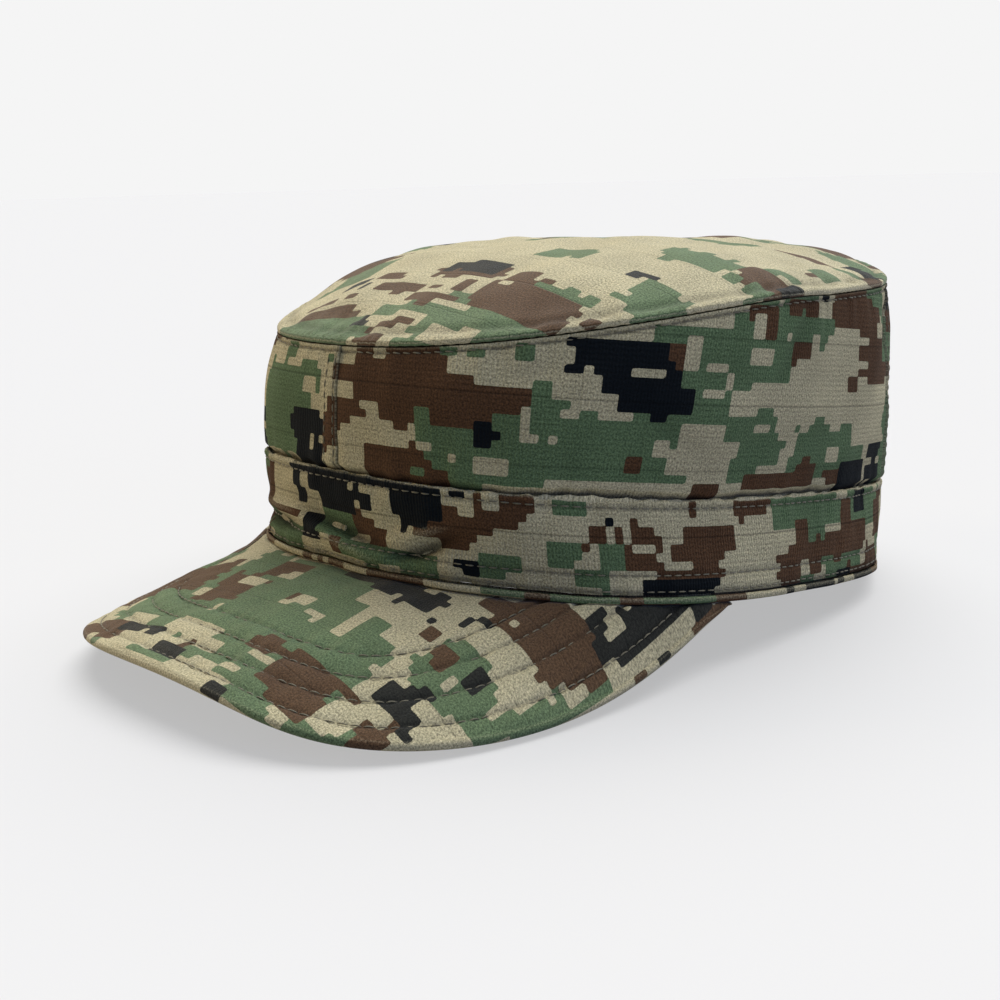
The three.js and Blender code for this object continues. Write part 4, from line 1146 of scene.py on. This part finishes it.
# %% Cloth material
TAN_GROUND, GREEN_INK, BROWN_INK, NAVY_INK = "#b8ae8b", "#5e7250", "#553c28", "#0d1317"
# The pale edge colour serves both wear and painted highlight.
INNER_FACE, RUBBED_AND_LIT_EDGE = "#9c9478", "#c8be9c"
rib_spacing, yarn_spacing, ripstop_spacing = 1.4, 0.9, 17.4


def printed_ripstop(name, haze, ribbing, painted_haze):
    """Haze is the strength of the bloom, ribbing that of the ribs. The last argument is the share of the bare
    ground mixed into the inks, a painted haze that pales them as grazing light does."""
    cloth = bpy.data.materials.new(name)
    cloth.use_nodes = True
    tree = cloth.node_tree
    shader = tree.nodes["Principled BSDF"]
    place = add(tree, "ShaderNodeUVMap", uv_map="weave")
    sides = add(tree, "ShaderNodeSeparateXYZ", {0: place})

    bleed = add(tree, "ShaderNodeTexNoise", {"Vector": place, "Scale": 1.3, "Detail": 2.0},
                noise_dimensions="2D")
    shift = add(tree, "ShaderNodeMath", {0: bleed, 1: 0.5}, operation="SUBTRACT")
    shift = add(tree, "ShaderNodeMath", {0: shift, 1: 0.22}, operation="MULTIPLY")
    colour = None
    for attribute, ink, under in (("green_ink", GREEN_INK, TAN_GROUND), ("brown_ink", BROWN_INK, None),
                                  ("navy_ink", NAVY_INK, None)):
        height = add(tree, "ShaderNodeAttribute", attribute_name=attribute).outputs["Fac"]
        height = add(tree, "ShaderNodeMath", {0: height, 1: shift}, operation="ADD")
        mask = add(tree, "ShaderNodeMapRange", {"Value": height, "From Min": -0.11, "From Max": 0.11},
                   interpolation_type="SMOOTHSTEP")
        below = linear(under) if under else colour
        # A painted haze of grazing light: each ink is mixed towards the tan ground by the last argument.
        hazed_ink = [between(dark, bare, painted_haze) for dark, bare in zip(linear(ink), linear(TAN_GROUND))]
        colour = add(tree, "ShaderNodeMix", {"Factor": mask, "A": below, "B": hazed_ink}, data_type="RGBA")

    def wave(side, spacing, wobble):
        """A ripple from 0 to 1 across threads that lie `spacing` mm apart."""
        turned = add(tree, "ShaderNodeMath", {0: sides.outputs[side], 1: 2 * math.pi / spacing},
                     operation="MULTIPLY")
        turned = add(tree, "ShaderNodeMath", {0: turned, 1: wobble}, operation="ADD")
        ripple = add(tree, "ShaderNodeMath", {0: turned}, operation="SINE")
        return add(tree, "ShaderNodeMapRange", {"Value": ripple, "From Min": -1.0, "From Max": 1.0})

    uneven = add(tree, "ShaderNodeTexNoise", {"Vector": place, "Scale": 0.5, "Detail": 3.0},
                 noise_dimensions="2D")
    uneven = add(tree, "ShaderNodeMath", {0: uneven, 1: 5.0}, operation="MULTIPLY")
    ribs, yarns = wave(1, rib_spacing, uneven), wave(0, yarn_spacing, uneven)
    grain = add(tree, "ShaderNodeTexNoise", {"Vector": place, "Scale": 1.9, "Detail": 3.0, "Roughness": 0.8},
                noise_dimensions="2D")
    blotch = add(tree, "ShaderNodeTexNoise", {"Vector": place, "Scale": 0.06, "Detail": 3.0},
                 noise_dimensions="2D")

    cross_ribs = []
    for side in (0, 1):
        turned = add(tree, "ShaderNodeMath", {0: sides.outputs[side], 1: ripstop_spacing / 2},
                     operation="PINGPONG")
        cross_ribs.append(add(tree, "ShaderNodeMapRange", {
            "Value": turned, "From Min": 0.0, "From Max": 0.45 if side else 0.3, "To Min": 1.0, "To Max": 0.0},
            interpolation_type="SMOOTHSTEP"))
    ripstop = add(tree, "ShaderNodeMath", {0: cross_ribs[0], 1: 0.35}, operation="MULTIPLY")
    ripstop = add(tree, "ShaderNodeMath", {0: ripstop, 1: cross_ribs[1]}, operation="MAXIMUM")

    shade = add(tree, "ShaderNodeMapRange", {
        "Value": ribs, "To Min": 1 - 0.09 * ribbing, "To Max": 1 + 0.04 * ribbing})
    grain_shade = add(tree, "ShaderNodeMapRange", {
        "Value": grain, "From Min": 0.3, "From Max": 0.7, "To Min": 0.40, "To Max": 1.58})
    shade = add(tree, "ShaderNodeMath", {0: shade, 1: grain_shade}, operation="MULTIPLY")
    blotch_shade = add(tree, "ShaderNodeMapRange", {
        "Value": blotch, "From Min": 0.3, "From Max": 0.7, "To Min": 0.92, "To Max": 1.08})
    shade = add(tree, "ShaderNodeMath", {0: shade, 1: blotch_shade}, operation="MULTIPLY")
    line_shade = add(tree, "ShaderNodeMapRange", {
        "Value": ripstop, "To Min": 1.0, "To Max": 0.88 - 0.22 * ribbing})
    shade = add(tree, "ShaderNodeMath", {0: shade, 1: line_shade}, operation="MULTIPLY")

    inner = add(tree, "ShaderNodeAttribute", attribute_name="inner_face").outputs["Fac"]
    pale = add(tree, "ShaderNodeMath", {0: inner, 1: 0.55}, operation="MULTIPLY")
    colour = add(tree, "ShaderNodeMix", {"Factor": pale, "A": colour, "B": linear(INNER_FACE)},
                 data_type="RGBA")
    # Pale edges, partly wear and partly painted highlight.
    wear_and_highlight = add(tree, "ShaderNodeAttribute", attribute_name="wear_and_highlight").outputs["Fac"]
    rubbed_and_lit = add(tree, "ShaderNodeMath", {0: wear_and_highlight, 1: grain}, operation="MULTIPLY")
    rubbed_and_lit = add(tree, "ShaderNodeMapRange", {
        "Value": rubbed_and_lit, "From Min": 0.1, "From Max": 0.6, "To Max": 0.75})
    colour = add(tree, "ShaderNodeMix", {"Factor": rubbed_and_lit, "A": colour, "B": linear(RUBBED_AND_LIT_EDGE)},
                 data_type="RGBA")
    # Painted shade in folds, grooves, seams and under ledges.
    painted_shade = add(tree, "ShaderNodeAttribute", attribute_name="painted_shade").outputs["Fac"]
    painted_shade_factor = add(tree, "ShaderNodeMapRange", {"Value": painted_shade, "To Min": 1.0, "To Max": 0.22})
    shade = add(tree, "ShaderNodeMath", {0: shade, 1: painted_shade_factor}, operation="MULTIPLY")
    grey = add(tree, "ShaderNodeCombineColor", {0: shade, 1: shade, 2: shade})
    colour = add(tree, "ShaderNodeMix", {"Factor": 1.0, "A": colour, "B": grey},
                 data_type="RGBA", blend_type="MULTIPLY")
    tree.links.new(next(s for s in colour.outputs if s.enabled), shader.inputs["Base Color"])

    relief = add(tree, "ShaderNodeMath", {0: ribs, 1: yarns}, operation="ADD")
    relief = add(tree, "ShaderNodeMath", {0: relief, 1: ribbing}, operation="MULTIPLY")
    relief = add(tree, "ShaderNodeMath", {0: grain, 1: 1.6, 2: relief}, operation="MULTIPLY_ADD")
    relief = add(tree, "ShaderNodeMath", {0: ripstop, 1: -0.8, 2: relief}, operation="MULTIPLY_ADD")
    bump = add(tree, "ShaderNodeBump", {"Height": relief, "Strength": 0.55, "Distance": 0.00022})
    tree.links.new(bump.outputs["Normal"], shader.inputs["Normal"])
    rough = add(tree, "ShaderNodeMapRange", {"Value": grain, "To Min": 0.78, "To Max": 0.95})
    tree.links.new(rough.outputs["Result"], shader.inputs["Roughness"])
    shader.inputs["IOR"].default_value = 1.45
    shader.inputs["Specular IOR Level"].default_value = 0.12
    shader.inputs["Sheen Weight"].default_value = haze
    shader.inputs["Sheen Roughness"].default_value = 0.45
    shader.inputs["Sheen Tint"].default_value = linear("#e9e6da")
    return cloth


# Cotton and nylon ripstop as it comes from the mill, and the same cloth pressed smooth over a form, with a
# painted haze of grazing light on its inks.
ripstop_cloth = printed_ripstop("printed_cotton_nylon_ripstop", haze=0.03, ribbing=1.0, painted_haze=0.0)
pressed_cloth = printed_ripstop("printed_ripstop_pressed_painted_haze", haze=0.22, ribbing=0.15, painted_haze=0.04)
for piece in (left_wall, right_wall, back_wall, band_cloth, edge_tape):
    piece.data.materials.append(ripstop_cloth)
for piece in (top_cloth, peak_cloth):
    piece.data.materials.append(pressed_cloth)
print("cloth nodes:", len(ripstop_cloth.node_tree.nodes))

# %% [markdown]
# ## Thread
# Spun polyester thread has a soft shine and a twist that shows as fine slanted bands.

# %% Thread material
thread = bpy.data.materials.new("spun_polyester_thread")
thread.use_nodes = True
tree = thread.node_tree
shader = tree.nodes["Principled BSDF"]
space = add(tree, "ShaderNodeTexCoord").outputs["Object"]
twist = add(tree, "ShaderNodeTexNoise", {"Vector": space, "Scale": 1400.0, "Detail": 2.0})
tones = add(tree, "ShaderNodeMix", {"Factor": twist, "A": linear("#46422f"), "B": linear("#8f8668")},
            data_type="RGBA")
tree.links.new(next(s for s in tones.outputs if s.enabled), shader.inputs["Base Color"])
twist_bump = add(tree, "ShaderNodeBump", {"Height": twist, "Strength": 0.4, "Distance": 0.0001})
tree.links.new(twist_bump.outputs["Normal"], shader.inputs["Normal"])
shader.inputs["Roughness"].default_value = 0.55
shader.inputs["Sheen Weight"].default_value = 0.2
sewn_seams = (top_seam, front_seam, back_seams, band_seams, peak_stitches)
for seam in sewn_seams:
    seam.data.materials.append(thread)
print("sewn seams:", len(sewn_seams))

# %% [markdown]
# ## Finish
# The finished cloth stands slightly proud of the solids, so the last line prints, on each side, how far
# the box round all the pieces stands out of the solids' box.

# %% Finish
cloth_low, cloth_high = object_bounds()
proud = *(solid_low - cloth_low), *(cloth_high - solid_high)
print("cloth stands proud by, in mm:", [round(1000 * x, 2) for x in proud])
